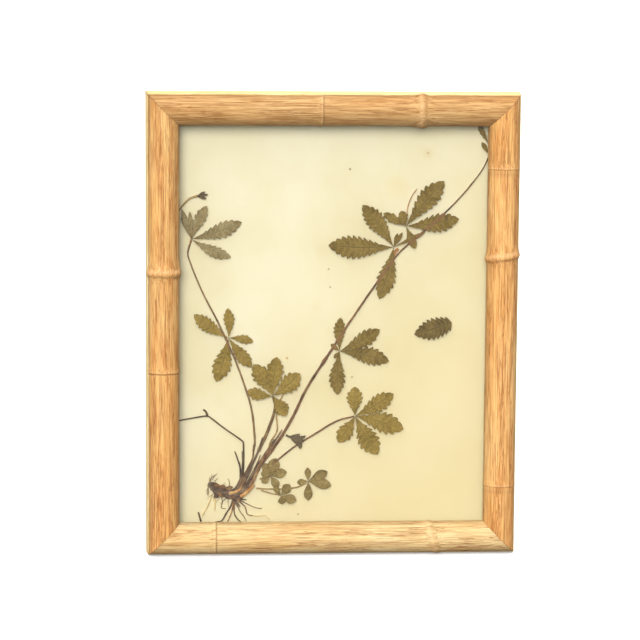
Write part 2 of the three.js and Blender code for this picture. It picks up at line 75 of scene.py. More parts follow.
MM = 0.001
BODY = "root"
UV_NAME = "UVMap"
SHADE_NAME = "shade"

Point = tuple[float, float]
Colour = tuple[float, float, float, float]
Socket = bpy.types.NodeSocket


def tone(code: str) -> Colour:
    """Turn a display colour such as 'e6b478' into the linear colour that shaders take.

    Args:
        code: Six hexadecimal digits, red first.

    Returns:
        The colour with full alpha.
    """
    display = [int(code[i : i + 2], 16) / 255 for i in (0, 2, 4)]
    red, green, blue = [c / 12.92 if c <= 0.04045 else ((c + 0.055) / 1.055) ** 2.4 for c in display]
    return (red, green, blue, 1.0)


def ease(low: float, high: float, value: float) -> float:
    """Rise smoothly from 0 at low to 1 at high."""
    t = min(max((value - low) / (high - low), 0.0), 1.0)
    return t * t * (3 - 2 * t)


def hump(value: float, centre: float, reach: float) -> float:
    """Give a bell of height 1 at centre that fades over reach."""
    return math.exp(-(((value - centre) / reach) ** 2))


def mottle(x: float, y: float, seed: float = 0.0) -> float:
    """Give smooth noise from about -1 to 1 at a place."""
    return noise.noise(Vector((x, y, seed)))


@dataclass(frozen=True)
class Bench:
    """The plane that the picture was laid up on, in mm: x right, y up it, depth towards the viewer."""

    centre: Vector

    @classmethod
    def from_frame(cls) -> "Bench":
        """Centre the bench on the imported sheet, at the back of the rails.

        Returns:
            The bench.
        """
        low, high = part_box("paper")
        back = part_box("rail_left")[1].y
        return cls(Vector(((low.x + high.x) / 2, back, (low.z + high.z) / 2)))

    def at(self, x: float, y: float, depth: float) -> Vector:
        """Give the place in the model, in metres, of a place on the bench."""
        return self.centre + Vector((x, -depth, y)) * MM

    def depths(self, node: str) -> tuple[float, float]:
        """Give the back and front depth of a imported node, in mm."""
        low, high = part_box(node)
        return (self.centre.y - high.y) / MM, (self.centre.y - low.y) / MM

    def reach(self, node: str) -> tuple[Point, Point]:
        """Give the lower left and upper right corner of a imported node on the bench, in mm.

        Args:
            node: The node's name.

        Returns:
            The two corners.
        """
        low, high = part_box(node)
        left, right = (low.x - self.centre.x) / MM, (high.x - self.centre.x) / MM
        bottom, top = (low.z - self.centre.z) / MM, (high.z - self.centre.z) / MM
        return (left, bottom), (right, top)


class Piece:
    """One piece of the object, gathered in a bmesh and then set down on the frame."""

    def __init__(self, name: str, slot: str, finishes: Sequence[bpy.types.Material]) -> None:
        """Start an empty piece.

        Args:
            name: The piece's name in the scene.
            slot: The record's material slot that it stands for; it is not used.
            finishes: The materials that its faces use, by index.
        """
        self.name = name
        self.slot = slot
        self.finishes = finishes
        self.bm = bmesh.new()
        self.uv = self.bm.loops.layers.uv.new(UV_NAME)
        self.shade = self.bm.verts.layers.float.new(SHADE_NAME)

    def net(
        self,
        rows: Sequence[Sequence[Vector]],
        finish: int = 0,
        spread: tuple[Sequence[float], Sequence[float]] | None = None,
    ) -> list[bmesh.types.BMVert]:
        """Lay a grid over rows of points.

        Args:
            rows: Points in rows of one length.
            finish: The index of the finish.
            spread: The UV coordinates of the columns and of the rows, where 0 to 1 won't do.

        Returns:
            The grid's vertices, row by row.
        """
        across, along = len(rows[0]) - 1, len(rows) - 1
        made = bmesh.ops.create_grid(
            self.bm, x_segments=across, y_segments=along, size=1, calc_uvs=True
        )["verts"]
        for place, vert in enumerate(made):
            vert.co = rows[place // (across + 1)][place % (across + 1)]
        for face in self.faces_of(made):
            face.material_index = finish
            face.smooth = True
            if spread:
                for loop in face.loops:
                    place = loop[self.uv].uv
                    column, row = round(place.x * across), round(place.y * along)
                    place.x, place.y = spread[0][column], spread[1][row]
        return made

    def tube(
        self,
        rings: Sequence[Sequence[Vector]],
        finish: int = 0,
        length: float = 1.0,
        shades: Sequence[Sequence[float]] | None = None,
    ) -> list[bmesh.types.BMFace]:
        """Skin a run of closed rings and fill both ends.

        Args:
            rings: Points of each ring, from one end to the other.
            finish: The index of the finish.
            length: The run's length, which its UV map counts along y.
            shades: A painted light value for each point, a painted highlight above 0 and painted shade below,
                0 where there is none.

        Returns:
            The tube's faces.
        """
        around, along = len(rings[0]), len(rings) - 1
        columns = [i / around for i in range(around + 1)]
        stations = [length * i / along for i in range(along + 1)]
        verts = self.net([[*ring, ring[0]] for ring in rings], finish, (columns, stations))
        if shades:
            for place, vert in enumerate(verts):
                vert[self.shade] = shades[place // (around + 1)][place % (around + 1) % around]
        bmesh.ops.remove_doubles(self.bm, verts=verts, dist=1e-8)
        faces = self.faces_of([v for v in verts if v.is_valid])
        rims = {edge for face in faces for edge in face.edges if edge.is_boundary}
        caps = bmesh.ops.holes_fill(self.bm, edges=list(rims), sides=0)["faces"]
        for cap in caps:
            cap.material_index = finish
        bmesh.ops.recalc_face_normals(self.bm, faces=faces + caps)
        return faces

    def blade(
        self,
        rows: Sequence[Sequence[Vector]],
        thickness: float,
        finish: int = 0,
        spread: tuple[Sequence[float], Sequence[float]] | None = None,
        shades: Sequence[float] = (),
    ) -> None:
        """Lay a thin sheet over rows of points, with its front on them.

        Args:
            rows: Points of the front in rows of one length.
            thickness: The thickness in metres.
            finish: The index of the finish.
            spread: The UV coordinates of the columns and of the rows.
            shades: A shade value for each point of the front, row by row.
        """
        verts = self.net(rows, finish, spread)
        for vert, shade in zip(verts, shades):
            vert[self.shade] = shade
        faces = self.faces_of(verts)
        grown = bmesh.ops.extrude_face_region(self.bm, geom=faces, use_keep_orig=True)["geom"]
        backs = [part for part in grown if isinstance(part, bmesh.types.BMVert)]
        bmesh.ops.translate(self.bm, verts=backs, vec=(0, thickness, 0))
        bmesh.ops.recalc_face_normals(self.bm, faces=self.faces_of(backs) + faces)

    def slab(self, low: Vector, high: Vector, bevel: float, segments: int = 2, finish: int = 0) -> None:
        """Add a block with rounded edges.

        Args:
            low: The lowest corner.
            high: The highest corner.
            bevel: The radius of the edges in metres.
            segments: The faces across each rounded edge.
            finish: The index of the finish.
        """
        fit = Matrix.Translation((low + high) / 2) @ Matrix.Diagonal((*(high - low), 1))
        verts = bmesh.ops.create_cube(self.bm, size=1, matrix=fit)["verts"]
        for face in self.faces_of(verts):
            face.material_index = finish
        edges = list({edge for vert in verts for edge in vert.link_edges})
        bmesh.ops.bevel(
            self.bm,
            geom=edges,
            offset=bevel,
            offset_type="OFFSET",
            segments=segments,
            profile=0.5,
            affect="EDGES",
            material=-1,
        )

    def lathe(self, profile: Sequence[Vector], centre: Vector, axis: Vector, finish: int = 0) -> None:
        """Turn a profile round an axis.

        Args:
            profile: The profile's points, from the axis back to the axis.
            centre: A place on the axis.
            axis: The axis's direction.
            finish: The index of the finish.
        """
        verts = [self.bm.verts.new(place) for place in profile]
        edges = [self.bm.edges.new(pair) for pair in zip(verts, verts[1:])]
        bmesh.ops.spin(
            self.bm,
            geom=verts + edges,
            cent=centre,
            axis=axis,
            angle=2 * math.pi,
            steps=28,
            use_merge=True,
        )
        bmesh.ops.remove_doubles(self.bm, verts=self.bm.verts[:], dist=1e-7)
        for face in self.bm.faces:
            face.smooth = True
            face.material_index = finish
        bmesh.ops.recalc_face_normals(self.bm, faces=self.bm.faces)

    @staticmethod
    def faces_of(verts: Sequence[bmesh.types.BMVert]) -> list[bmesh.types.BMFace]:
        """List the faces that meet at any of these vertices, each once."""
        return list(dict.fromkeys(face for vert in verts for face in vert.link_faces))

    def set_down(self, *nodes: str, crease: float = 42.0) -> bpy.types.Object:
        """Make the object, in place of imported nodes, and let it ride on the frame.

        Args:
            nodes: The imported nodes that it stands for.
            crease: The angle in degrees past which an edge is sharp.

        Returns:
            The finished object.
        """
        mesh = bpy.data.meshes.new(self.name)
        self.bm.to_mesh(mesh)
        self.bm.free()
        for finish in self.finishes:
            mesh.materials.append(finish)
        mesh.set_sharp_from_angle(angle=math.radians(crease))
        made = bpy.data.objects.new(self.name, mesh)
        bpy.context.scene.collection.objects.link(made)
        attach(made, BODY)
        if nodes:
            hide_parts(*nodes)
        LOG.info("%s: %d faces", self.name, len(mesh.polygons))
        return made


class Finish:
    """A node material in the making: each call adds a node and gives the socket that it makes."""

    def __init__(self, name: str) -> None:
        """Start a material with its shader and its texture coordinates.

        Args:
            name: The material's name.
        """
        self.material = bpy.data.materials.new(name)
        self.material.use_nodes = True
        self.tree = self.material.node_tree
        self.shader = self.tree.nodes["Principled BSDF"]
        self.places = self.tree.nodes.new("ShaderNodeTexCoord")

    def feed(self, socket: Socket, value: Any) -> None:
        """Link a socket to another, or set its value."""
        if isinstance(value, bpy.types.NodeSocket):
            self.tree.links.new(value, socket)
        else:
            socket.default_value = value

    def node(self, kind: str, inputs: dict[Any, Any], **settings: Any) -> bpy.types.Node:
        """Add a node.

        Args:
            kind: The node's type.
            inputs: A value or a socket for each input, by name or index.
            settings: The node's own settings.

        Returns:
            The node.
        """
        made = self.tree.nodes.new(kind)
        for key, value in settings.items():
            setattr(made, key, value)
        for key, value in inputs.items():
            self.feed(made.inputs[key], value)
        return made

    def ground(self, stretch: Sequence[float], seat: Sequence[float] = (0, 0, 0)) -> Socket:
        """Give Object coordinates in cycles, from cycles a mm on each axis and a shift.

        Args:
            stretch: The cycles a mm on each axis.
            seat: The shift, in cycles.

        Returns:
            The coordinates.
        """
        scale = [s / MM for s in stretch]
        inputs = {"Vector": self.places.outputs["Object"], "Scale": scale, "Location": list(seat)}
        return self.node("ShaderNodeMapping", inputs).outputs[0]

    def parts(self, vector: Socket) -> tuple[Socket, Socket, Socket]:
        """Split a vector into x, y and z."""
        made = self.node("ShaderNodeSeparateXYZ", {0: vector})
        return made.outputs[0], made.outputs[1], made.outputs[2]

    def across(self, stretch: Sequence[float]) -> Socket:
        """Give the piece's UV map, stretched."""
        inputs = {"Vector": self.places.outputs["UV"], "Scale": list(stretch)}
        return self.node("ShaderNodeMapping", inputs).outputs[0]

    def painted_light_and_stem_band(self) -> Socket:
        """Give the value that the piece's vertices carry: painted highlight and shade on the rails, the
        stem's band on the leaves.
        """
        return self.node("ShaderNodeAttribute", {}, attribute_name=SHADE_NAME).outputs["Fac"]

    def noise(self, place: Socket, detail: float = 2, rough: float = 0.5, warp: float = 0.0) -> Socket:
        """Give noise from 0 to 1 at one cycle a unit."""
        inputs = {"Vector": place, "Scale": 1.0, "Detail": detail, "Roughness": rough, "Distortion": warp}
        return self.node("ShaderNodeTexNoise", inputs).outputs[0]

    def cells(self, place: Socket, feature: str = "F1", randomness: float = 1.0) -> Socket:
        """Give the distance within a pattern of cells."""
        inputs = {"Vector": place, "Scale": 1.0, "Randomness": randomness}
        return self.node("ShaderNodeTexVoronoi", inputs, feature=feature).outputs["Distance"]

    def math(self, operation: str, *values: Any) -> Socket:
        """Work out a number."""
        return self.node("ShaderNodeMath", dict(enumerate(values)), operation=operation).outputs[0]

    def band(self, value: Socket, low: float, high: float, least: float = 0.0, most: float = 1.0) -> Socket:
        """Ease from least at low to most at high."""
        inputs = {"Value": value, 1: low, 2: high, 3: least, 4: most}
        return self.node("ShaderNodeMapRange", inputs, interpolation_type="SMOOTHSTEP").outputs[0]

    def mix(self, share: Any, first: Any, second: Any, blend: str = "MIX") -> Socket:
        """Mix two colours."""
        inputs = {0: share, 6: first, 7: second}
        return self.node("ShaderNodeMix", inputs, data_type="RGBA", blend_type=blend).outputs[2]

    def ramp(self, value: Socket, *stops: tuple[float, str]) -> Socket:
        """Run a number through a row of display colours.

        Args:
            value: The number.
            stops: Each colour's place in the row, and the colour.

        Returns:
            The colour.
        """
        made = self.node("ShaderNodeValToRGB", {0: value})
        row = made.color_ramp.elements
        while len(row) < len(stops):
            row.new(1.0)
        for element, (place, code) in zip(row, stops):
            element.position = place
            element.color = tone(code)
        return made.outputs[0]

    def bump(self, height: Socket, depth: float, strength: float = 1.0) -> Socket:
        """Turn a height from 0 to 1 into a bumped normal.

        Args:
            height: The height.
            depth: What a height of 1 stands for, in mm.
            strength: The share of the bump that shows.

        Returns:
            The normal.
        """
        inputs = {"Height": height, "Distance": depth * MM, "Strength": strength}
        return self.node("ShaderNodeBump", inputs).outputs[0]

    def dress(self, **sockets: Any) -> bpy.types.Material:
        """Set the shader's sockets, by their names with underscores, and give the material."""
        for name, value in sockets.items():
            self.feed(self.shader.inputs[name.replace("_", " ")], value)
        return self.material


class Grain(Enum):
    """The way that a rail's grain runs."""

    ACROSS = "across"
    UP = "up"

    def stretch(self, along: float, over: float) -> tuple[float, float, float]:
        """Give the cycles a mm on x, y and z for a pattern drawn out along the grain."""
        return (along, over, over) if self is Grain.ACROSS else (over, over, along)


@dataclass(frozen=True)
class OakFinish:
    """Oiled oak with long wavy figure and short dark pores."""

    name: str
    grain: Grain
    seat: tuple[float, float, float]
    light: str = "d8ac72"
    deep: str = "bb8450"
    pore: str = "80522c"
    # The painted highlight colour, then the painted shade colour.
    painted_highlight: str = "dfb98a"
    painted_shade: str = "6b4526"

    def material(self) -> bpy.types.Material:
        """Make the material.

        Returns:
            The material.
        """
        finish = Finish(self.name)
        drift = finish.noise(finish.ground(self.grain.stretch(0.007, 0.045), self.seat), 2, 0.5)
        x, y, z = finish.parts(finish.ground((1, 1, 1), self.seat))
        side = z if self.grain is Grain.ACROSS else x
        year = finish.math("MULTIPLY_ADD", side, 0.11, finish.math("MULTIPLY", y, 0.13))
        year = finish.math("MULTIPLY_ADD", drift, 4.6, year)
        year = finish.math("SINE", finish.math("MULTIPLY", year, 2 * math.pi))
        figure = finish.band(year, -0.6, 1.0)
        fibre = finish.noise(finish.ground(self.grain.stretch(0.05, 0.95), self.seat), 4, 0.62, 0.5)
        dashes = finish.noise(finish.ground(self.grain.stretch(0.13, 1.6), self.seat), 2, 0.55, 0.6)
        pores = finish.band(dashes, 0.52, 0.66)
        pores = finish.math("MULTIPLY", pores, finish.band(figure, 0.0, 1.0, 0.35, 1.0))
        shade = finish.math("MULTIPLY_ADD", figure, 0.34, finish.band(fibre, 0.34, 0.68, -0.2, 0.85))
        colour = finish.mix(shade, tone(self.light), tone(self.deep))
        cloud = finish.noise(finish.ground(self.grain.stretch(0.012, 0.06), self.seat), 2, 0.5)
        tint = finish.ramp(cloud, (0.3, "ffffff"), (0.7, "f4e2cc"))
        colour = finish.mix(1.0, colour, tint, "MULTIPLY")
        colour = finish.mix(finish.math("MULTIPLY", pores, 0.72), colour, tone(self.pore))
        lines = finish.noise(finish.ground(self.grain.stretch(0.03, 2.1), self.seat), 2, 0.5, 1.1)
        lines = finish.band(lines, 0.53, 0.6, 0.0, 0.62)
        colour = finish.mix(lines, colour, tone(self.pore))
        # Painted light from the vertex value: a highlight above 0 and shade below 0, at the rings, the seams
        # and the mitres.
        painted_light_and_stem_band = finish.painted_light_and_stem_band()
        colour = finish.mix(finish.band(painted_light_and_stem_band, 0.0, 1.0, 0.0, 0.55), colour, tone(self.painted_highlight))
        colour = finish.mix(finish.band(painted_light_and_stem_band, -1.0, 0.0, 0.8, 0.0), colour, tone(self.painted_shade))
        height = finish.math("MULTIPLY_ADD", pores, -0.7, finish.math("MULTIPLY", fibre, 0.5))
        return finish.dress(
            Base_Color=colour,
            Roughness=finish.math("MULTIPLY_ADD", pores, 0.2, 0.52),
            Normal=finish.bump(height, 0.3, 0.6),
            Specular_IOR_Level=0.35,
        )


@dataclass(frozen=True)
class GlassFinish:
    """Clear picture glass, which lets light straight through to the sheet."""

    name: str = "picture_glass"

    def material(self) -> bpy.types.Material:
        """Make the material.

        Returns:
            The material.
        """
        finish = Finish(self.name)
        ripple = finish.noise(finish.ground((0.01, 0.01, 0.01)), 1, 0.4)
        finish.dress(
            Base_Color=tone("fbfffc"),
            Roughness=0.02,
            IOR=1.5,
            Transmission_Weight=1.0,
            Normal=finish.bump(ripple, 0.05, 0.1),
        )
        clear = finish.node("ShaderNodeBsdfTransparent", {})
        path = finish.node("ShaderNodeLightPath", {})
        inputs = {0: path.outputs["Is Shadow Ray"], 1: finish.shader.outputs[0], 2: clear.outputs[0]}
        blend = finish.node("ShaderNodeMixShader", inputs)
        finish.feed(finish.tree.nodes["Material Output"].inputs["Surface"], blend.outputs[0])
        return finish.material


@dataclass(frozen=True)
class FoxMark:
    """A brown mark on the sheet: its place and radius in mm, its strength and its colour."""

    place: Point
    radius: float
    strength: float
    colour: str


@dataclass(frozen=True)
class PaperFinish:
    """Old cream herbarium paper with clouds, fibres and fox marks."""

    name: str = "herbarium_paper"
    front: float = -7.4
    middle: float = -133.5
    marks: tuple[FoxMark, ...] = (
        FoxMark((10.2, 96.6), 0.7, 0.8, "8a5f33"),
        FoxMark((-2.6, 34.6), 0.6, 0.7, "94683a"),
        FoxMark((-1.6, 23.4), 0.6, 0.7, "94683a"),
        FoxMark((58.4, 106.6), 0.7, 0.6, "a87a44"),
        FoxMark((58.4, 106.6), 3.2, 0.25, "e2bf80"),
        FoxMark((12.5, -33.1), 0.7, 0.7, "94683a"),
        FoxMark((-28.1, -21.0), 0.8, 0.75, "b9803f"),
        FoxMark((-20.6, -119.8), 0.7, 0.8, "7f552e"),
        FoxMark((40.0, 85.5), 7.0, 0.2, "ecd08c"),
    )

    def material(self) -> bpy.types.Material:
        """Make the material.

        Returns:
            The material.
        """
        finish = Finish(self.name)
        cloud = finish.noise(finish.ground((0.014, 0.014, 0.014)), 4, 0.55)
        colour = finish.ramp(cloud, (0.25, "e6d6ac"), (0.5, "eee2c1"), (0.75, "f5ebd3"))
        fleck = finish.noise(finish.ground((0.5, 0.5, 0.5)), 3, 0.6)
        colour = finish.mix(finish.band(fleck, 0.55, 0.8, 0.0, 0.16), colour, tone("d9bd86"))
        spot = finish.cells(finish.ground((0.055, 0.055, 0.055), (0.3, 0, 0.7)))
        keep = finish.noise(finish.ground((0.03, 0.03, 0.03), (5, 0, 2)), 2)
        kept = finish.band(keep, 0.5, 0.6)
        mark = finish.math("MULTIPLY", finish.band(spot, 0.012, 0.05, 0.75, 0.0), kept)
        colour = finish.mix(mark, colour, tone("a97c46"))
        halo = finish.math("MULTIPLY", finish.band(spot, 0.0, 0.3, 0.16, 0.0), kept)
        colour = finish.mix(halo, colour, tone("e0b872"))
        grit = finish.cells(finish.ground((0.16, 0.16, 0.16), (0.9, 0, 0.2)))
        colour = finish.mix(finish.band(grit, 0.02, 0.055, 0.35, 0.0), colour, tone("c6a263"))
        place = finish.ground((1, 1, 1))
        for fox in self.marks:
            spot = (fox.place[0], self.front, fox.place[1] + self.middle)
            gap = finish.node("ShaderNodeVectorMath", {0: place, 1: spot}, operation="DISTANCE")
            far = gap.outputs["Value"]
            share = finish.band(far, 0.4 * fox.radius, 1.5 * fox.radius, fox.strength, 0.0)
            colour = finish.mix(share, colour, tone(fox.colour))
        x, _, z = finish.parts(place)
        slope = finish.math("SUBTRACT", x, finish.math("SUBTRACT", z, self.middle))
        colour = finish.mix(finish.band(slope, -110.0, 190.0, 0.0, 0.6), colour, tone("e9d29a"))
        return finish.dress(
            Base_Color=colour,
            Roughness=0.85,
            Normal=finish.bump(fleck, 0.06, 0.5),
            Specular_IOR_Level=0.2,
        )


@dataclass(frozen=True)
class BoardFinish:
    """Brown hardboard with a wet-pressed fibre face."""

    name: str = "hardboard"

    def material(self) -> bpy.types.Material:
        """Make the material.

        Returns:
            The material.
        """
        finish = Finish(self.name)
        cloud = finish.noise(finish.ground((0.03, 0.03, 0.03)), 3, 0.6)
        fibre = finish.noise(finish.ground((0.35, 1.6, 1.6), (2, 0, 0)), 4, 0.65, 1.2)
        colour = finish.ramp(fibre, (0.3, "7d5a39"), (0.55, "946e48"), (0.75, "a98559"))
        colour = finish.mix(finish.band(cloud, 0.35, 0.7, 0.0, 0.4), colour, tone("6f4e31"))
        mesh = finish.cells(finish.ground((0.55, 0.55, 0.55)), "F1", 0.12)
        height = finish.math("MULTIPLY_ADD", fibre, 0.7, mesh)
        return finish.dress(
            Base_Color=colour,
            Roughness=0.72,
            Normal=finish.bump(height, 0.15, 0.6),
            Specular_IOR_Level=0.3,
        )


@dataclass(frozen=True)
class MetalFinish:
    """Thin pressed metal with rolling marks and a little tarnish."""

    name: str
    bright: str
    dull: str

    def material(self) -> bpy.types.Material:
        """Make the material.

        Returns:
            The material.
        """
        finish = Finish(self.name)
        brushed = finish.noise(finish.ground((0.25, 4.0, 4.0)), 3, 0.6)
        stain = finish.noise(finish.ground((0.12, 0.12, 0.12), (3, 1, 4)), 4, 0.6)
        colour = finish.mix(finish.band(stain, 0.4, 0.7), tone(self.bright), tone(self.dull))
        rough = finish.math("MULTIPLY_ADD", stain, 0.35, finish.math("MULTIPLY_ADD", brushed, 0.15, 0.16))
        return finish.dress(
            Base_Color=colour,
            Metallic=1.0,
            Roughness=rough,
            Normal=finish.bump(brushed, 0.03, 0.4),
        )


@dataclass(frozen=True)
class LeafFinish:
    """A dried leaf: dull blade, paler veins that run out to the teeth, darker blotches."""

    name: str
    dark: str
    mid: str
    pale: str
    seat: float = 0.0
    under: str = "8a6044"

    def material(self) -> bpy.types.Material:
        """Make the material.

        Returns:
            The material.
        """
        finish = Finish(self.name)
        side, tooth, _ = finish.parts(finish.places.outputs["UV"])
        seat = (self.seat, 0, self.seat)
        blotch = finish.noise(finish.ground((0.11, 0.11, 0.11), seat), 4, 0.6, 0.3)
        crumb = finish.noise(finish.ground((0.75, 0.75, 0.75), seat), 3, 0.65)
        share = finish.math("MULTIPLY_ADD", crumb, 0.55, finish.math("MULTIPLY", blotch, 0.75))
        colour = finish.ramp(share, (0.42, self.dark), (0.62, self.mid), (0.86, self.pale))
        edge = finish.math("ABSOLUTE", side)
        rib = finish.band(edge, 0.1, 0.2, 1.0, 0.0)
        core = finish.band(edge, 0.03, 0.1, 0.75, 0.0)
        gap = finish.math("ABSOLUTE", finish.math("SUBTRACT", finish.math("FRACT", tooth), 0.5))
        vein = finish.math("MULTIPLY", finish.band(gap, 0.39, 0.47), finish.band(edge, 0.45, 1.0, 0.8, 0.2))
        lines = finish.math("MAXIMUM", rib, vein)
        net = finish.cells(finish.ground((0.8, 0.8, 0.8), seat), "DISTANCE_TO_EDGE")
        fine = finish.band(net, 0.02, 0.16, 1.0, 0.0)
        colour = finish.mix(finish.math("MULTIPLY", lines, 0.62), colour, tone(self.pale))
        colour = finish.mix(finish.math("MULTIPLY", fine, 0.3), colour, tone(self.dark))
        colour = finish.mix(core, colour, tone(self.dark))
        rim = finish.band(edge, 0.84, 1.0, 0.0, 0.55)
        colour = finish.mix(rim, colour, tone(self.dark))
        colour = finish.mix(finish.band(finish.painted_light_and_stem_band(), 0.15, 0.7, 0.0, 0.75), colour, tone(self.under))
        height = finish.math("MULTIPLY_ADD", lines, 0.6, finish.math("MULTIPLY_ADD", fine, -0.25, crumb))
        return finish.dress(
            Base_Color=colour,
            Roughness=finish.band(crumb, 0.3, 0.7, 0.68, 0.85),
            Normal=finish.bump(height, 0.16, 0.8),
            Specular_IOR_Level=0.25,
        )


@dataclass(frozen=True)
class StalkFinish:
    """A dried stalk or root: streaks along its length, dull and a little mottled."""

    name: str
    dark: str
    mid: str
    pale: str

    def material(self) -> bpy.types.Material:
        """Make the material.

        Returns:
            The material.
        """
        finish = Finish(self.name)
        streak = finish.noise(finish.across((9.0, 0.12, 1.0)), 3, 0.65)
        patch = finish.noise(finish.ground((0.2, 0.2, 0.2)), 4, 0.6)
        share = finish.math("MULTIPLY_ADD", streak, 0.6, finish.math("MULTIPLY", patch, 0.6))
        colour = finish.ramp(share, (0.44, self.dark), (0.58, self.mid), (0.74, self.pale))
        height = finish.math("MULTIPLY_ADD", patch, 0.5, streak)
        return finish.dress(
            Base_Color=colour,
            Roughness=finish.band(patch, 0.3, 0.7, 0.6, 0.8),
            Normal=finish.bump(height, 0.2, 0.8),
            Specular_IOR_Level=0.3,
        )


class Side(Enum):
    """The side of the frame that a rail closes."""

    TOP = "top"
    BOTTOM = "bottom"
    LEFT = "left"
    RIGHT = "right"


@dataclass(frozen=True)
class CaneRail:
    """One rail, with the places along it, in mm, of its cane rings and its thin seams.

    The slant is how far a ring runs along the rail for each mm across it, the rise its height in mm and
    the ripple how far it wavers. The ring shade says how dark the painted shade line under a ring is, the
    seam cut shade how deep a seam is cut and how dark the painted shade in the cut is, and the seam shade
    band how dark the band of painted shade past a seam is.
    """

    side: Side
    rings: tuple[float, ...]
    seams: tuple[float, ...]
    oak: OakFinish
    raw: OakFinish
    ring_slant: float = 0.0
    ring_rise: float = 1.4
    ring_shade: float = 1.0
    ripple: float = 0.6
    seam_cut_shade: float = 1.0
    seam_shade_band: float = 0.0


def raw_oak(name: str, grain: Grain, seat: tuple[float, float, float]) -> OakFinish:
    """Give the bare, paler oak of a rail's sides and back."""
    return OakFinish(name, grain, seat, "f2e3b2", "e6d095", "b08c50", "f2e3b2", "8f6c36")


RAILS = (
    CaneRail(
        Side.TOP,
        (168.6,),
        (107.0,),
        # Painted shade: the top rail's oak tones are darker than the other rails', standing in for less light
        # on it.
        OakFinish("oak_top", Grain.ACROSS, (0, 0, 0), "c09f6d", "a17b4a"),
        raw_oak("bare_oak_top", Grain.ACROSS, (0, 0, 9)),
        ring_shade=0.3,
        seam_cut_shade=0.7,
    ),
    CaneRail(
        Side.BOTTOM,
        (178.0,),
        (42.0,),
        OakFinish("oak_bottom", Grain.ACROSS, (31, 7, 44), "cebc90", "b99e6e"),
        raw_oak("bare_oak_bottom", Grain.ACROSS, (31, 0, 4)),
        ring_slant=-0.29,
        ring_rise=0.8,
        ring_shade=0.4,
        ripple=0.3,
    ),
    CaneRail(
        Side.LEFT,
        (110.0,),
        (171.4,),
        OakFinish("oak_left", Grain.UP, (13, 3, 70), "cfaa70", "b3804b"),
        raw_oak("bare_oak_left", Grain.UP, (3, 0, 7)),
    ),
    CaneRail(
        Side.RIGHT,
        (100.0,),
        (45.6, 243.4),
        OakFinish("oak_right", Grain.UP, (57, 11, 20), "d4ad73", "ba8851"),
        raw_oak("bare_oak_right", Grain.UP, (8, 0, 40)),
        ring_slant=0.15,
        ripple=0.2,
        seam_cut_shade=0.1,
        seam_shade_band=0.3,
    ),
)


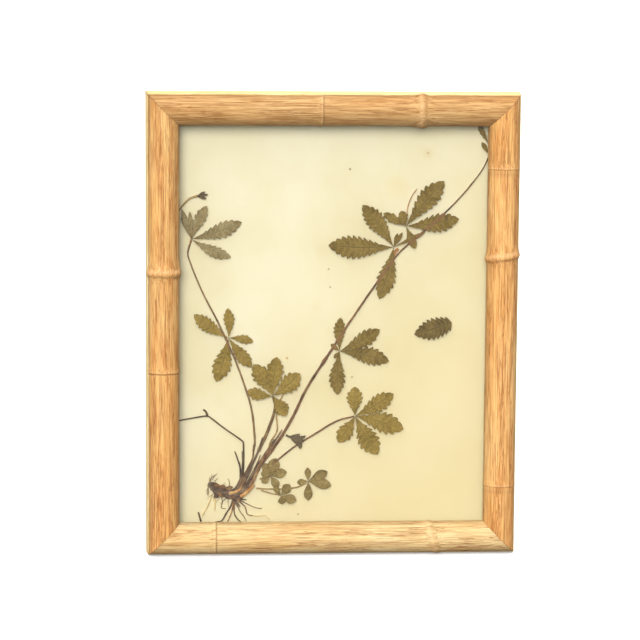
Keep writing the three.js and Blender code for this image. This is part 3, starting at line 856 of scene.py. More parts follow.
@dataclass
class CaneFrame:
    """Four mitred oak rails, each turned like a length of cane with rings and seams. Sizes are in mm."""

    bench: Bench
    width: float = 229.0
    height: float = 286.0
    rail_width: float = 19.5
    side_depth: float = 16.5
    sight_depth: float = 15.0
    bead_height: float = 8.5
    lip_depth: float = 12.5
    lip_width: float = 6.0
    rake: float = 1.2
    quirk: float = 0.6
    quirk_depth: float = 0.8
    arris: float = 0.5
    mitre_gap: float = 0.04
    seam_swell: float = 0.35
    # How dark the painted shade along the mitre joints is.
    mitre_shade: float = -0.7
    bead_points: int = 40
    station_step: float = 3.0

    def section(self) -> list[tuple[float, float, bool]]:
        """Trace a rail's section.

        Returns:
            Each point's distance from the outer side, its depth, and whether it is on the bead.
        """
        rabbet = self.rail_width - self.lip_width
        flat = [
            (self.side(self.arris), self.arris),
            (self.arris - self.rake, 0.0),
            (rabbet - self.arris, 0.0),
            (rabbet, self.arris),
            (rabbet, self.lip_depth),
            (self.rail_width, self.lip_depth),
        ]
        bead = []
        for step in range(self.bead_points + 1):
            turn = math.pi * step / self.bead_points
            s = self.bead_centre + self.bead_radius * math.cos(turn)
            bead.append((s, self.bead_base(s) + self.bead_height * math.sin(turn), True))
        edge = [
            (self.quirk * 0.95, self.side_depth - self.quirk_depth),
            (self.quirk * 0.75, self.side_depth - 0.1 * self.arris),
            (self.quirk * 0.45, self.side_depth),
            (self.side(self.side_depth - self.arris), self.side_depth - self.arris),
        ]
        return [(s, d, False) for s, d in flat] + bead + [(s, d, False) for s, d in edge]

    def side(self, d: float) -> float:
        """Give how far the raked outer side stands in from its front edge at a depth."""
        return -self.rake * (1 - d / self.side_depth)

    @property
    def bead_radius(self) -> float:
        """Half the width of the bead."""
        return (self.rail_width - self.quirk) / 2

    @property
    def bead_centre(self) -> float:
        """The bead's middle, from the outer side."""
        return self.quirk + self.bead_radius

    def bead_base(self, s: float) -> float:
        """The depth that the bead stands on."""
        share = (s - self.quirk) / (self.rail_width - self.quirk)
        return self.side_depth + (self.sight_depth - self.side_depth) * share

    def ring(self, x: float, mark: float) -> tuple[float, float]:
        """Give a ring's swell and its painted highlight and shade at a distance past its ridge.

        Args:
            x: The distance along the rail in mm.
            mark: How dark the painted shade line under the ring is.

        Returns:
            The swell as a share of the ring's height, and the painted light: a painted highlight above 0 and
            painted shade below.
        """
        swell = 0.5 * hump(x, 0, 6.5 if x < 0 else 3.6) + 0.5 * hump(x, 0, 2.8 if x < 0 else 1.7)
        # Painted highlight on the upper side of the ring, painted shade line just under it.
        painted_light_and_stem_band = 0.5 * hump(x, -1.6, 1.7) - 0.5 * mark * hump(x, 1.6, 0.7)
        return swell, painted_light_and_stem_band

    def seam(self, x: float, rail: CaneRail) -> tuple[float, float]:
        """Give a rail's seam's swell in mm and its painted highlight and shade at a distance past it, in mm.

        Args:
            x: The distance past the seam, in mm.
            rail: The rail.

        Returns:
            The swell and the painted light.
        """
        lip = self.seam_swell * ease(-4.5, -0.6, x) * (1 - ease(-0.3, 0.4, x))
        cut = -0.3 * rail.seam_cut_shade * hump(x, 0.6, 0.35)
        # Painted highlight on the lip before the seam, painted shade in its cut and a painted shade band past
        # it.
        painted_light_and_stem_band = 0.45 * hump(x, -0.8, 0.6) - 0.55 * rail.seam_cut_shade * hump(x, 0.6, 0.45)
        return lip + cut, painted_light_and_stem_band - rail.seam_shade_band * hump(x, 3.0, 2.0)

    def stations(self, rail: CaneRail, length: float) -> list[float]:
        """List the places along a rail, close together at its rings and seams.

        Args:
            rail: The rail.
            length: The rail's length in mm.

        Returns:
            The places in mm.
        """
        start, end = self.rail_width + 1, length - self.rail_width - 1
        count = round((end - start) / self.station_step)
        places = {round(start + (end - start) * i / count, 2) for i in range(count + 1)}
        places |= {round(ring - 13 + 0.5 * i, 2) for ring in rail.rings for i in range(44)}
        places |= {round(seam - 4 + 0.3 * i, 2) for seam in rail.seams for i in range(34)}
        return sorted(place for place in places if start <= place <= end)

    def swell(self, rail: CaneRail, along: float, s: float) -> tuple[float, float]:
        """Give the bead's swell in mm and its painted highlight and shade at a place on a rail.

        Args:
            rail: The rail.
            along: The distance along it, in mm.
            s: The distance in from its outer side, in mm.

        Returns:
            The swell and the painted light.
        """
        seed = {Side.TOP: 1.5, Side.BOTTOM: 4.5, Side.LEFT: 7.5, Side.RIGHT: 9.5}[rail.side]
        rise, painted_light_and_stem_band = 0.1 * mottle(along * 0.04, s * 0.05, seed), 0.0
        ripple = rail.ripple * mottle(s * 0.7, seed, along * 0.05)
        lean = rail.ring_slant * (s - self.bead_centre)
        for place in rail.rings:
            share, mark = self.ring(along - place - lean + ripple, rail.ring_shade)
            rise += share * rail.ring_rise
            painted_light_and_stem_band += mark
        for place in rail.seams:
            lift, mark = self.seam(along - place + 0.4 * ripple, rail)
            rise += lift
            painted_light_and_stem_band += mark
        return rise, painted_light_and_stem_band

    def place(self, rail: CaneRail, along: float, s: float, d: float) -> Vector:
        """Give the place in the model of a point on a rail.

        Args:
            rail: The rail.
            along: The distance along it, in mm.
            s: The distance in from its outer side, in mm.
            d: The height over the back, in mm.

        Returns:
            The place.
        """
        left, top = -self.width / 2, self.height / 2
        x, y = {
            Side.TOP: (left + along, top - s),
            Side.BOTTOM: (left + along, s - top),
            Side.LEFT: (left + s, top - along),
            Side.RIGHT: (-left - s, top - along),
        }[rail.side]
        return self.bench.at(x, y, d)

    def build_rail(self, rail: CaneRail) -> None:
        """Model one rail and set it down in place of its solid.

        Args:
            rail: The rail.
        """
        node = f"rail_{rail.side.value}"
        piece = Piece(f"oak_{node}", "oak", (rail.oak.material(), rail.raw.material()))
        length = self.width if rail.side in (Side.TOP, Side.BOTTOM) else self.height
        section = self.section()
        inner = self.stations(rail, length)
        mitres = [(share, 0) for share in (0.0, 0.04, 0.3, 0.65)]
        mitres += [(1.0, place) for place in inner]
        mitres += [(-share, 0) for share in (0.65, 0.3, 0.04, 0.0)]
        rings, shades = [], []
        for order, (share, place) in enumerate(mitres):
            ring, shade = [], []
            late = order > len(mitres) / 2
            for s, d, beaded in section:
                if abs(share) < 1:
                    near = length - s - self.mitre_gap if late else s + self.mitre_gap
                    along = near + ((inner[-1] if late else inner[0]) - near) * abs(share)
                else:
                    along = place
                rise, painted_light_and_stem_band = self.swell(rail, along, s) if beaded and share == 1 else (0.0, 0.0)
                # Painted shade at the mitre ends.
                if share == 0:
                    painted_light_and_stem_band = self.mitre_shade
                lift = rise * (d - self.bead_base(s)) / self.bead_height
                s += (s - self.bead_centre) * rise / self.bead_radius
                ring.append(self.place(rail, along, s, d + lift if beaded else d))
                shade.append(painted_light_and_stem_band)
            rings.append(ring)
            shades.append(shade)
        faces = piece.tube(rings, 0, length, shades)
        first = next(i for i, point in enumerate(section) if point[2]) - 1
        last = len(section) - 1 - next(i for i, point in enumerate(reversed(section)) if point[2])
        for face in faces:
            column = min(loop[piece.uv].uv.x for loop in face.loops) * len(section)
            if not first - 0.5 < column < last + 0.5:
                face.material_index = 1
        piece.set_down(node, crease=35)

    def build(self) -> None:
        """Model the four rails."""
        for rail in RAILS:
            self.build_rail(rail)


@dataclass
class Backing:
    """The pane, the mounting sheet, the hardboard and the fittings that hold them. Sizes are in mm."""

    bench: Bench
    nodes: dict[str, bpy.types.Object]
    pane_arris: float = 0.3
    board_round: float = 0.5
    point_round: float = 0.22
    sheet_wave: float = 0.07
    sheet_step: float = 4.0
    nail_radius: float = 1.8
    points: tuple[str, ...] = ("top", "bottom", "left_upper", "left_lower", "right_upper", "right_lower")

    def build_block(self, name: str, node: str, slot: str, finish: bpy.types.Material, edge: float) -> None:
        """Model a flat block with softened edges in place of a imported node.

        Args:
            name: The piece's name.
            node: The node it stands for.
            slot: The record's material slot.
            finish: The material.
            edge: The radius of its edges in mm.
        """
        piece = Piece(name, slot, (finish,))
        piece.slab(*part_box(node), edge * MM)
        piece.set_down(node, crease=15)

    def build_sheet(self) -> None:
        """Model the mounting sheet, which lies a little wavy on its board."""
        (left, bottom), (right, top) = self.bench.reach("paper")
        back, front = self.bench.depths("paper")
        columns, rows = round((right - left) / self.sheet_step), round((top - bottom) / self.sheet_step)
        net = []
        for j in range(rows + 1):
            y = bottom + (top - bottom) * j / rows
            xs = [left + (right - left) * i / columns for i in range(columns + 1)]
            wave = [self.sheet_wave * (mottle(x * 0.025, y * 0.03, 3.3) - 1) for x in xs]
            net.append([self.bench.at(x, y, front + lift) for x, lift in zip(xs, wave)])
        piece = Piece("mounting_sheet", "sheet", (PaperFinish().material(),))
        piece.blade(net, (front - back) * 0.6 * MM)
        piece.set_down("paper")

    def build_nail(self, side: str, zinc: bpy.types.Material) -> None:
        """Turn one of the hanger's nails: a domed head on a shank.

        Args:
            side: The side that it is on, as in its node's name.
            zinc: The material.
        """
        node = f"hanger_nail_{side}"
        low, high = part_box(node)
        centre = (low + high) / 2
        head, point = high.y, low.y
        shank, dome = 0.45 * self.nail_radius, 0.35 * self.nail_radius
        outline = [(0, head), (0.5, head - 0.06 * dome * MM), (0.85, head - 0.35 * dome * MM)]
        outline += [(1.0, head - dome * MM), (0.9, head - 1.3 * dome * MM)]
        outline += [(shank / self.nail_radius, head - 1.35 * dome * MM)]
        outline += [(shank / self.nail_radius, point + 1.2 * MM), (0, point)]
        radius = (high.x - low.x) / 2
        profile = [Vector((centre.x + share * radius, y, centre.z)) for share, y in outline]
        piece = Piece(f"nail_{side}", "zinc", (zinc,))
        piece.lathe(profile, Vector((centre.x, 0, centre.z)), Vector((0, 1, 0)))
        piece.set_down(node)

    def build(self) -> None:
        """Model everything that lies in the rabbet, and finish the hanger."""
        zinc = MetalFinish("zinc_plate", "c9cbcc", "84878a").material()
        brass = MetalFinish("brassed_steel", "d9b766", "8d6f35").material()
        self.build_block("pane", "glass", "glass", GlassFinish().material(), self.pane_arris)
        self.build_sheet()
        hardboard = BoardFinish().material()
        self.build_block("hardboard_back", "backing_board", "board", hardboard, self.board_round)
        for place in self.points:
            self.build_block(f"glazing_point_{place}", f"point_{place}", "zinc", zinc, self.point_round)
        for side in ("left", "right"):
            self.build_nail(side, zinc)
        for slot in self.nodes["hanger"].material_slots:
            slot.material = brass
        LOG.info("hanger: packed shape in brassed steel")


@dataclass(frozen=True)
class Strand:
    """A stalk, stem or root: its route on the sheet and its width at both ends, in mm."""

    route: tuple[Point, ...]
    width: float
    tip: float
    knots: tuple[float, ...] = ()


@dataclass(frozen=True)
class Leaflet:
    """One leaflet: its tip, its width, its teeth on a side, how far it bends and what share is torn off."""

    tip: Point
    width: float
    teeth: int = 0
    bend: float = 0.0
    torn: float = 0.0


@dataclass(frozen=True)
class Leaf:
    """A leaf: its node, where its leaflets meet, its depth, its leaflets, its stalk and its loose strands."""

    node: str
    heart: Point
    depth: float
    leaflets: tuple[Leaflet, ...]
    blade: LeafFinish
    stalk: Strand | None = None
    extras: tuple[Strand, ...] = ()


class Bark(Enum):
    """The finish of a strand of the rootstock: its name and its dark, middle and pale tone."""

    DARK = ("root_bark", "2f211a", "604b3b", "937b65")
    HUSK = ("crown_husk", "5c3a22", "96683f", "cc9a64")
    FAINT = ("root_faint", "c8a566", "dfc386", "efdaa6")
    BROWN = ("crown_brown", "432a1b", "765238", "ab8862")
    UMBER = ("crown_umber", "40301f", "6e5a45", "9a866c")
    PALE = ("crown_pale", "a06a38", "cc955a", "e8bf88")


UNDER = 8.95
OVER = 9.55

OLIVE = LeafFinish("leaf_olive", "5b481b", "7d642a", "a18748", 0.0)
TAWNY = LeafFinish("leaf_tawny", "67521d", "8e742f", "b5984f", 7.0)
ASHEN = LeafFinish("leaf_ashen", "6a5835", "8e7a51", "b2a075", 13.0)
DUSKY = LeafFinish("leaf_dusky", "4c3c18", "6b5627", "8f7742", 27.0)
STRAW = LeafFinish("leaf_straw", "4f3f1f", "88713f", "b89f67", 21.0)

MAIN_STEM = Strand(
    (
        (-51, -100.5), (-46.5, -92.5), (-42.3, -85.5), (-39, -81.5), (-31.5, -70.5),
        (-23.5, -56.5), (-15.5, -39.5), (-9, -29),
        (2, -12), (17, 11), (25.5, 23.5), (40.5, 44), (55.5, 57.5), (70, 70.5), (81.5, 82.5),
        (91.5, 95.5), (96, 105), (97, 113), (96.5, 123),
    ),
    2.0,
    0.6,
    (0.34, 0.70),
)
LEFT_STEM = Strand(
    (
        (-48.8, -79.5), (-48, -72.5), (-50, -53.5), (-55, -36.5), (-61.5, -19), (-71.5, 2.5),
        (-79, 17), (-85, 30.5), (-88.4, 39.5), (-89.6, 43.5), (-89.4, 47), (-88.5, 50), (-87.5, 52.5),
    ),
    1.35,
    0.9,
    (0.52, 0.97),
)
RUNNER = Strand(
    (
        (-55, -95), (-55, -76), (-56.5, -72.5), (-65.5, -66), (-74.5, -59), (-78, -57.2),
        (-88, -58.5), (-95.5, -60),
    ),
    1.1,
    0.9,
)
RUNNER_BRACT = Strand(((-77.5, -57.5), (-78.3, -54.5), (-80, -53)), 1.5, 1.0)
DRY_SPIKE = Strand(((-56.7, -98), (-57, -90), (-58.5, -85), (-60.5, -79.5)), 1.4, 0.6)
THIN_STALK = Strand(
    ((-39.2, -77), (-38, -73.5), (-34, -66), (-34.5, -57.5), (-32.5, -48.5), (-30, -43)), 0.9, 0.9
)
BUD_STALK = Strand(
    ((-95.5, 70), (-94, 72.5), (-92, 75), (-88.5, 78.5), (-84, 80), (-80, 80.5)), 0.9, 1.6
)
BUD_SEPALS = ((-79, 82.7), (-77.3, 81), (-78.3, 78.3))
LOOSE_ROOT = Strand(((-83, -118), (-81.5, -124)), 1.1, 1.1)

RHIZOME = Strand(
    (
        (-77, -99.9), (-74.5, -100.9), (-71.6, -103.1), (-68.4, -104.8), (-64.8, -106), (-61.5, -107.6),
        (-58.5, -108.8),
    ),
    6.2,
    5.0,
)
BUNDLE = (
    (Bark.UMBER, Strand(((-55.9, -79.4), (-55.7, -87.2), (-56.1, -95.5), (-58.2, -101.4)), 0.5, 0.8)),
    (
        Bark.DARK,
        Strand(
            ((-57.8, -86.3), (-56.7, -91.3), (-56.8, -95.9), (-58.8, -101), (-60.9, -103.9)),
            0.8,
            1.3,
        ),
    ),
    (
        Bark.BROWN,
        Strand(
            ((-48.8, -75.3), (-49.2, -83.1), (-51.6, -88.9), (-54.3, -94.4), (-56.4, -99.1), (-59.4, -104.8)),
            0.7,
            1.5,
        ),
    ),
    (
        Bark.UMBER,
        Strand(
            ((-45.5, -79.2), (-49.8, -88), (-53.2, -94.4), (-55.7, -99.1), (-59.1, -104.8)),
            0.8,
            2.9,
        ),
    ),
    (
        Bark.UMBER,
        Strand(
            ((-43, -70.6), (-46.2, -79.7), (-48.9, -86.2), (-52, -93.5), (-54.8, -100.1), (-59.1, -106.3)),
            0.8,
            2.0,
        ),
    ),
    (
        Bark.BROWN,
        Strand(
            ((-44.4, -81.8), (-47.3, -88.9), (-50.7, -96.2), (-54, -101.7), (-58, -106.9)),
            0.5,
            2.0,
        ),
    ),
    (
        Bark.UMBER,
        Strand(
            ((-41.7, -81.4), (-45.3, -88.9), (-48.9, -96.3), (-53.4, -103), (-58, -107.6)),
            0.5,
            1.8,
        ),
    ),
    (
        Bark.BROWN,
        Strand(
            ((-31.1, -65.8), (-39.6, -79.5), (-44.3, -87.7), (-48, -95.7), (-52.9, -103.6), (-58, -108.3)),
            0.7,
            2.4,
        ),
    ),
    (
        Bark.DARK,
        Strand(
            ((-35.8, -71.7), (-41.7, -80.7), (-46.2, -88), (-49.3, -94.4), (-54.3, -102.7), (-58.4, -107.6)),
            0.5,
            1.0,
        ),
    ),
    (
        Bark.HUSK,
        Strand(
            ((-37.4, -74.9), (-42.6, -82.7), (-44.9, -87.5), (-47.2, -93.5), (-49.8, -99)),
            0.4,
            0.9,
        ),
    ),
    (
        Bark.HUSK,
        Strand(
            ((-42.6, -84.7), (-45.8, -91.7), (-48.8, -98.7), (-53.3, -104.9), (-58, -108.7)),
            0.5,
            1.3,
        ),
    ),
    (Bark.HUSK, Strand(((-52.5, -93.5), (-55.2, -99.9), (-57.9, -103.5), (-61.8, -105.7)), 0.5, 1.2)),
    (Bark.DARK, Strand(((-46.8, -88.9), (-50.8, -97.3), (-54.6, -102.6)), 0.3, 0.6)),
    (Bark.DARK, Strand(((-49.2, -89.3), (-52.5, -96.2), (-56.1, -101.7)), 0.3, 0.6)),
    (Bark.DARK, Strand(((-44.5, -88.9), (-48.1, -96.9), (-52.1, -102.7)), 0.3, 0.5)),
    (Bark.DARK, Strand(((-47.7, -83.8), (-51, -90.5), (-53.9, -96.2)), 0.3, 0.5)),
    (Bark.PALE, Strand(((-48.2, -100.4), (-52.2, -104.9), (-56.8, -107.9)), 1.0, 2.2)),
    (Bark.PALE, Strand(((-56.6, -102.8), (-59.5, -104.8), (-64, -105.9)), 1.0, 2.2)),
)
ROOTS = (
    (
        Bark.DARK,
        Strand(
            ((-61.2, -109.7), (-63.2, -114.7), (-65.7, -118.9), (-68.4, -123.4), (-72.3, -124.3)),
            1.2,
            0.7,
        ),
    ),
    (Bark.HUSK, Strand(((-61.3, -111.1), (-62, -116.6), (-63.4, -121.2), (-65.1, -124.7)), 0.75, 0.6)),
    (Bark.BROWN, Strand(((-60.9, -111.1), (-60.7, -118.4), (-58.9, -122.1), (-56.4, -124.4)), 0.8, 0.7)),
    (Bark.BROWN, Strand(((-60.3, -111.1), (-57.1, -117.5), (-54.4, -121.3), (-52.9, -124.8)), 0.5, 0.4)),
    (Bark.BROWN, Strand(((-58.9, -110.2), (-53.9, -114.8), (-52.6, -119.4), (-49, -120.4)), 0.8, 0.6)),
    (Bark.BROWN, Strand(((-57.6, -110.2), (-50.8, -113.9), (-46.3, -115.6), (-43.1, -115.8)), 0.6, 0.4)),
    (Bark.BROWN, Strand(((-68.9, -107.3), (-68, -111.9), (-69, -115.2), (-66, -115.7)), 0.5, 0.35)),
    (Bark.DARK, Strand(((-57.1, -109.7), (-54.9, -110.2), (-53, -110.2)), 0.9, 0.5)),
    (Bark.BROWN, Strand(((-63.8, -102.8), (-63.7, -99.1), (-64.6, -96.8)), 0.6, 0.35)),
    (Bark.BROWN, Strand(((-76.1, -99.9), (-75, -96.3), (-74.5, -93.7)), 0.35, 0.25)),
    (Bark.FAINT, Strand(((-72.5, -105.5), (-72.5, -111), (-73, -116.7)), 1.0, 0.8)),
    (Bark.FAINT, Strand(((-74.5, -107.3), (-77.5, -114.6), (-80.8, -120.3)), 0.7, 0.6)),
    (Bark.FAINT, Strand(((-49, -120.4), (-45.3, -120.8), (-41.5, -120.1), (-38.5, -123.2)), 0.6, 0.4)),
    (Bark.DARK, Strand(((-73.4, -105), (-72.9, -107.3), (-73.6, -108.7)), 0.8, 0.5)),
)

LEAVES = (
    Leaf(
        "leaf_upper_left",
        (-87.5, 53.5),
        UNDER,
        (
            Leaflet((-56.5, 64), 9.5, 7, -1.0),
            Leaflet((-78, 74), 7, 5, 0.6),
            Leaflet((-63, 42), 7, 6, -1.2),
            Leaflet((-93.5, 72), 3.5),
            Leaflet((-88.5, 70.5), 3),
            Leaflet((-94, 67), 2),
        ),
        ASHEN,
        extras=(Strand(((-88.5, 51), (-87, 56), (-85, 60)), 0.7, 0.5),),
    ),
    Leaf(
        "leaf_left",
        (-64.5, -8),
        UNDER,
        (
            Leaflet((-86, 6.5), 8.5, 7, 0.8),
            Leaflet((-65, 10.5), 6.5, 5, -0.6),
            Leaflet((-49, -10.5), 5.5, 4, 0.6),
            Leaflet((-50, -26.5), 8, 6, -0.5),
            Leaflet((-72, -35.5), 11, 6, 0.8),
        ),
        TAWNY,
    ),
    Leaf(
        "leaf_centre",
        (-37, -44.5),
        OVER,
        (
            Leaflet((-34.5, -20), 10.5, 5, 0.5),
            Leaflet((-49, -24.5), 10.5, 5, -0.6),
            Leaflet((-53, -41.5), 7.5, 4, 0.6),
            Leaflet((-20, -30.5), 11, 5, -0.6),
            Leaflet((-28.5, -57), 8.5, 5, 0.4),
        ),
        TAWNY,
        Strand(((-45.6, -79.5), (-41.5, -70.5), (-37.5, -60), (-35.5, -51.5), (-37, -45)), 2.2, 1.5),
    ),
    Leaf(
        "leaf_stem_middle",
        (4.5, -16.5),
        UNDER,
        (
            Leaflet((5, 4.5), 7, 6, 0.5),
            Leaflet((29.5, -3), 9.5, 6, -0.8),
            Leaflet((35.5, -23), 10.5, 7, 0.8),
            Leaflet((3.5, -44), 9.5, 6, -0.9),
            Leaflet((-1, -12), 3),
            Leaflet((1, -21), 2.5),
        ),
        OLIVE,
    ),
    Leaf(
        "leaf_right",
        (14.5, -57.5),
        UNDER,
        (
            Leaflet((14.5, -39), 9.5, 5, 0.4),
            Leaflet((38.5, -43.5), 10.5, 6, -0.5),
            Leaflet((45, -66), 12.5, 6, 0.8),
            Leaflet((29, -82), 12.5, 6, -0.6),
            Leaflet((4, -74), 9.5, 4, 0.4),
        ),
        TAWNY,
        Strand(
            ((-43, -92), (-33, -84.5), (-23, -76.5), (-11, -69), (-0.5, -62.5), (6.5, -59.5), (14, -57.7)),
            1.1,
            1.0,
        ),
    ),
    Leaf(
        "leaf_base_upper",
        (-38.5, -95),
        UNDER,
        (
            Leaflet((-34.5, -84), 7.5),
            Leaflet((-28, -92.5), 6),
            Leaflet((-42, -87), 5.5),
            Leaflet((-44, -93), 4.5),
            Leaflet((-43.5, -99.5), 4.5),
            Leaflet((-33, -102.5), 5),
        ),
        STRAW,
        Strand(((-45, -97.2), (-42, -96.2), (-39, -95.2)), 1.0, 0.8),
    ),
    Leaf(
        "leaf_base_lower",
        (-31.5, -107.5),
        OVER,
        (
            Leaflet((-26, -100.5), 6),
            Leaflet((-30.5, -113), 5),
            Leaflet((-22, -111), 6),
            Leaflet((-36, -101.5), 3.5),
        ),
        STRAW,
        Strand(((-44, -104.3), (-37.5, -106.3), (-32, -107.4)), 0.9, 0.7),
    ),
    Leaf(
        "leaf_base_right",
        (-14.5, -98.5),
        UNDER,
        (
            Leaflet((-15, -90), 4),
            Leaflet((-21.5, -99.5), 4),
            Leaflet((-14.5, -111), 5.5),
            Leaflet((-2.5, -92.5), 6.4),
            Leaflet((0, -101.5), 6.6),
        ),
        STRAW,
        Strand(((-47, -103), (-36.5, -103.5), (-24.5, -103), (-19, -101.5), (-15, -98.8)), 0.9, 0.7),
    ),
    Leaf(
        "leaf_top",
        (45, 61.5),
        OVER,
        (
            Leaflet((68.5, 89.5), 12, 7, 0.8),
            Leaflet((78, 66), 11, 7, -0.8),
            Leaflet((31, 69.5), 5.5, 3),
            Leaflet((42, 71), 6, 3),
            Leaflet((51, 47.5), 5.5, 2),
        ),
        OLIVE,
        extras=(Strand(((45.5, 64), (45.6, 70), (46.5, 75), (48.5, 80), (51.5, 84.5)), 0.6, 0.5),),
    ),
    Leaf(
        "leaf_upper",
        (37.5, 48.5),
        UNDER,
        (
            Leaflet((18, 74.5), 11, 8, -0.8),
            Leaflet((-3, 49.5), 13.5, 9, 0.8),
            Leaflet((29, 16), 11, 7, 0.9),
            Leaflet((40, 57), 2.5),
            Leaflet((43, 57.5), 2.5),
            Leaflet((57, 57.5), 3),
        ),
        OLIVE,
        extras=(Strand(((36.6, 41.8), (38.2, 44.6), (40.4, 47.6)), 2.6, 1.8),),
    ),
    Leaf("leaf_tip_upper", (95.8, 112), UNDER, (Leaflet((88.8, 125.5), 3.4, 4),), OLIVE),
    Leaf("leaf_tip_lower", (96, 106), UNDER, (Leaflet((91.5, 113.5), 3),), OLIVE),
    Leaf("loose_leaflet", (83.9, 5.1), UNDER, (Leaflet((51, -6.3), 12.6, 9, 0.6, 0.33),), DUSKY),
)

SHRIVELLED_EDGES = (
    ((-26.5, -70), (-23, -68.8), (-20, -68.5), (-20.5, -70), (-16, -69.5)),
    ((-26.5, -70), (-25, -72.5), (-19.5, -78), (-18.5, -76.5), (-19, -73.5)),
)
SHRIVELLED_STALK = Strand(((-28.6, -69.3), (-25, -71.3)), 1.2, 0.9)


def follow(route: Sequence[Point], step: float) -> list[tuple[Vector, Vector]]:
    """Walk a smooth curve through a route.

    Args:
        route: The points that the curve goes through.
        step: The distance between stations in mm.

    Returns:
        The place and the unit direction of each station, on the sheet.
    """
    points = [Vector(p) for p in route]
    points = [2 * points[0] - points[1], *points, 2 * points[-1] - points[-2]]
    places = []
    for a, b, c, d in zip(points, points[1:], points[2:], points[3:]):
        count = max(2, round((c - b).length / step))
        for i in range(count):
            t = i / count
            bend = (2 * a - 5 * b + 4 * c - d) * t**2 + (3 * b - a - 3 * c + d) * t**3
            places.append((2 * b + (c - a) * t + bend) / 2)
    places.append(points[-2])
    befores = [places[0], *places]
    afters = [*places[1:], places[-1]]
    ways = [(after - before).normalized() for before, after in zip(befores, afters)]
    return list(zip(places, ways))


def along_edge(edge: Sequence[Point], share: float) -> Vector:
    """Give the point at a share of the way along a chain of points.

    Args:
        edge: The chain's points.
        share: The share of its length, from 0 to 1.

    Returns:
        The point.
    """
    points = [Vector(p) for p in edge]
    lengths = [(b - a).length for a, b in zip(points, points[1:])]
    left = share * sum(lengths)
    for a, b, length in zip(points, points[1:], lengths):
        if left <= length:
            return a.lerp(b, left / length)
        left -= length
    return points[-1]


